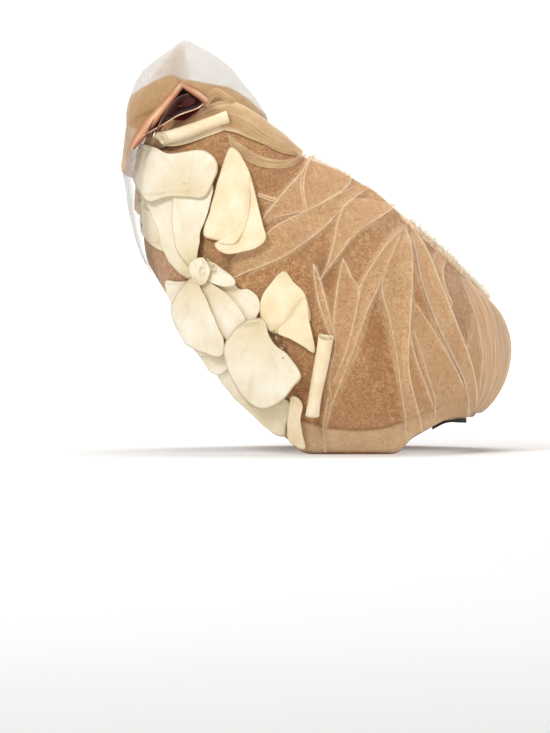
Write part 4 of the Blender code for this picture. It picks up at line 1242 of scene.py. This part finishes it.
def make_binding():
    """The rolled, whipped and frayed edge round the back of the open crown."""
    u, a = down(320, *RIM_REACH), across(12, 0, 2 * math.pi, endpoint=False)
    middle, out, up = rim_at(u)
    bare = smooth((u - 0.62) / 0.08) * smooth((1.38 - u) / 0.08)
    centre = middle - out * ((RIM_OUT + 0.9) * (1 - bare))[..., None]
    direction = out * np.cos(a)[..., None] + up * np.sin(a)[..., None]
    lump = ripple(centre + direction * 3, 3.0, 4.0) * 0.5 + ripple(centre + direction * 3, 1.2, 8.0) * 0.3
    points = centre + direction * (RIM_RADIUS * (0.6 + 0.4 * bare) + lump)[..., None]
    made = mesh_object("crown_rim_roll", points.reshape(-1, 3), tube_faces(0, *points.shape[:2]), {}, RIM_MAT)
    dress(made, "tulle", "crown_rim_binding")
    rng = np.random.default_rng(4)
    points, faces = [], []
    turn = np.linspace(-0.3, math.pi + 0.9, 9)[:, None]
    for k in range(WHIPPINGS):
        lean = rng.uniform(0, 0.6)
        at = FRAY_REACH[0] + (FRAY_REACH[1] - FRAY_REACH[0]) * k / (WHIPPINGS - 1)
        middle, out, up = rim_at(at + np.linspace(0, 0.004 + 0.003 * lean, 9))
        path = middle + (out * np.cos(turn) + up * np.sin(turn)) * (RIM_RADIUS + 0.4)
        add_strand(points, faces, path, 0.46, 0.4)
    t = np.linspace(0, 1, 5)[:, None]
    for _ in range(FRAYS):
        middle, out, up = rim_at(rng.uniform(*FRAY_REACH))
        angle = rng.uniform(-0.9, math.pi * 0.5)
        way = out * math.cos(angle) + up * math.sin(angle)
        root = middle + way * RIM_RADIUS * 0.9
        aim = way + rng.normal(0, 0.45, 3)
        length = rng.uniform(1.5, 4.6)
        bend = rng.normal(0, 0.5, 3)
        add_strand(points, faces, root + aim * t * length + bend * t**2, 0.28, 0.12)
    threads = mesh_object("crown_rim_threads", np.concatenate(points), faces, {}, THREAD_MAT)
    dress(threads, "tulle")


def add_strand(points, faces, path, thick, tip):
    """Adds a thin thread along a path, thinning to its tip."""
    sides = 4
    along = unit(np.gradient(path, axis=0))
    side = unit(np.cross(along, (0.31, 0.52, 0.79)))
    other = np.cross(along, side)
    radius = np.linspace(thick, tip, len(path))[:, None]
    first = sum(len(p) for p in points)
    turns = [2 * math.pi * k / sides for k in range(sides)]
    rings = [path + radius * (side * math.cos(a) + other * math.sin(a)) for a in turns]
    points.append(np.stack(rings, axis=1).reshape(-1, 3))
    faces += tube_faces(first, len(path), sides)


def make_hearts():
    """Curled scraps of silk and small stamens at the heart of each flower."""
    rng = np.random.default_rng(11)
    high = across(7, 0, 1)
    for heart in HEARTS:
        cloth = Joined()
        for pixel in heart.curls:
            u, v = locate(seen([pixel]))
            out = normal(u, v)[0]
            side = unit(np.cross(out, (0, 0, 1)))
            up = np.cross(side, out)
            size = heart.size * rng.uniform(0.85, 1.1)
            turn = np.linspace(0, 2 * math.pi * 1.25, 26)[:, None] + rng.uniform(0, 6)
            radius = size * (1 - 0.45 * down(26, 0, 1)) * (0.7 + 0.45 * high)
            flat = side * (radius * np.cos(turn))[..., None] + up * (radius * np.sin(turn))[..., None]
            grid = raised(u, v, np.array([PETAL_FLOOR]))[0] + flat + out * (high * heart.high)[..., None]
            cloth.add(grid, rim=high * 0.97, root=high, fan=0.0, seed=0.0)
        piece = cloth.piece(heart.name + "_curls", PETAL_MAT)
        said = {"flat": heart.flat, "area": heart.area}
        dress(piece, "silk", heart.name, **ON_DRAPE, **said)
        points, faces = [], []
        t = np.linspace(0, 1, 6)[:, None]
        for k in range(heart.stamens):
            u, v = locate(seen([heart.tips[k % len(heart.tips)]]))
            aim = normal(u, v)[0] * 0.5 + rng.normal(0, 0.6, 3)
            root = raised(u, v, np.array([PETAL_FLOOR]))[0] + rng.normal(0, 1.2, 3) * (1, 0.2, 1)
            path = root + aim * t * rng.uniform(2.4, 4.4)
            add_strand(points, faces, path, 0.26, 0.22)
            knob = path[-1] + unit(aim) * np.linspace(-0.3, 0.9, 5)[:, None]
            add_strand(points, faces, knob, 0.55, 0.3)
        stamens = mesh_object(heart.name + "_stamens", np.concatenate(points), faces, {}, STAMEN_MAT)
        dress(stamens, "silk")


def make_band():
    """The black ribbed band inside the back."""
    u = np.linspace(*BAND_REACH, 160)
    rim, flat = felt(u, 0.0), unit(normal(u, 0.0) * (1, 1, 0))
    high = across(10, *BAND_EDGES)[..., None]
    grids = []
    for inset in (0.0, BAND_THICK):
        face = rim - flat * (CUFF_THICK + 0.3 + inset)
        grid = face[:, None, :] * (1, 1, 0) + (rim[:, None, 2:] + high) * (0, 0, 1)
        grids.append(grid + ripple(grid, 9.0, 3.0)[..., None] * flat[:, None, :] * 0.3)
    made = shell_piece("black_band_ribbed", *grids, {}, BAND_MAT)
    dress(made, "black_band", "inner_band", flat=(0.012, 0.17), held="hung", rests_on=["felt_body"])


# The floor's half width, where its cove starts and its radius, and the wall's height, in metres.
FLOOR_HALF = 12.0
COVE_START = 6.2
COVE = 1.2
WALL_TOP = 9.0
FLOOR_DARK = (238.6,) * 3
FLOOR_LIGHT = (243.4,) * 3


def make_stage():
    """A pale floor that curves up into a pale wall behind."""
    profile = [(-FLOOR_HALF, 0.0), (COVE_START, 0.0)]
    turns = np.linspace(0.1, math.pi / 2, 12)
    profile += [(COVE_START + COVE * math.sin(a), COVE - COVE * math.cos(a)) for a in turns]
    profile.append((COVE_START + COVE, WALL_TOP))
    mesh = bpy.data.meshes.new("floor")
    points = [(x, y, z) for x in (-FLOOR_HALF, FLOOR_HALF) for y, z in profile]
    n = len(profile)
    mesh.from_pydata(points, [], [(i, n + i, n + i + 1, i + 1) for i in range(n - 1)])
    s = Shader("floor_pale", 0.9, specular=0.1)
    s.colour(s.mix(s.noise(3.0), FLOOR_DARK, FLOOR_LIGHT))
    link_object("floor", mesh, s.material)


def make_light(name, place, aim, size, power):
    """A round lamp at a place, aimed at another, in metres and watts."""
    lamp = bpy.data.lights.new(name, "AREA")
    lamp.shape = "DISK"
    lamp.size = size
    lamp.energy = power
    made = bpy.data.objects.new(name, lamp)
    made.location = place
    made.rotation_euler = (Vector(aim) - Vector(place)).to_track_quat("-Z", "Y").to_euler()
    bpy.context.scene.collection.objects.link(made)


def make_lights():
    world = bpy.data.worlds.new("studio")
    world.use_nodes = True
    sky = world.node_tree.nodes["Background"]
    sky.inputs["Color"].default_value = (1.0, 0.99, 0.97, 1.0)
    sky.inputs["Strength"].default_value = 0.55
    bpy.context.scene.world = world
    middle = (0.0, 0.0, 0.15)
    make_light("key", (-1.6, -2.2, 2.3), middle, 0.9, 52)
    make_light("fill", (2.4, -2.0, 0.8), middle, 1.8, 18)
    make_light("top", (0.3, 0.7, 2.6), middle, 1.4, 16)
    make_light("backdrop", (0.0, 1.4, 2.4), (0.0, 3.4, 0.0), 2.4, 52)
    make_light("far_backdrop", (0.0, 4.9, 2.9), (0.0, 7.2, 0.6), 2.8, 90)


# The camera's distance in metres and its rise in degrees, and the photograph's size and middle.
CAMERA_AWAY = 5.0
CAMERA_RISE = 1.2
PHOTO_WIDE = 550
PHOTO_HIGH = 733
FRAME_HEIGHT = PHOTO_HIGH * PIXEL * MM
FRAME_CENTRE = ((PHOTO_WIDE / 2 - ZERO_X) * PIXEL, (ZERO_Y - PHOTO_HIGH / 2) * PIXEL)


def make_camera():
    """The decorated side, level with the hat and a little above the floor."""
    camera = bpy.data.cameras.new("camera")
    camera.lens = camera.sensor_width * CAMERA_AWAY / FRAME_HEIGHT
    camera.clip_end = 60.0
    made = bpy.data.objects.new("camera", camera)
    target = Vector(((FRAME_CENTRE[0] + FOOTPRINT_SHIFT[0]) * MM, 0.0, FRAME_CENTRE[1] * MM))
    tilt = math.radians(CAMERA_RISE)
    made.location = target + Vector((0.0, -math.cos(tilt), math.sin(tilt))) * CAMERA_AWAY
    made.rotation_euler = (target - made.location).to_track_quat("-Z", "Y").to_euler()
    bpy.context.scene.collection.objects.link(made)
    bpy.context.scene.camera = made


make_camera()
make_stage()
make_lights()
make_felt()
make_folds(make_drape())
make_gather()
make_pouf()
make_swag()
make_veil()
make_apron()
for number, blade in enumerate(BLADES):
    blade_piece(blade, number)
for number, blade in enumerate(SCRAPS):
    blade_piece(blade, len(BLADES) + number, named=False)
for scroll in SCROLLS:
    scroll_piece(scroll)
make_bow()
make_binding()
make_hearts()
make_band()
bpy.context.scene.view_settings.view_transform = "Standard"
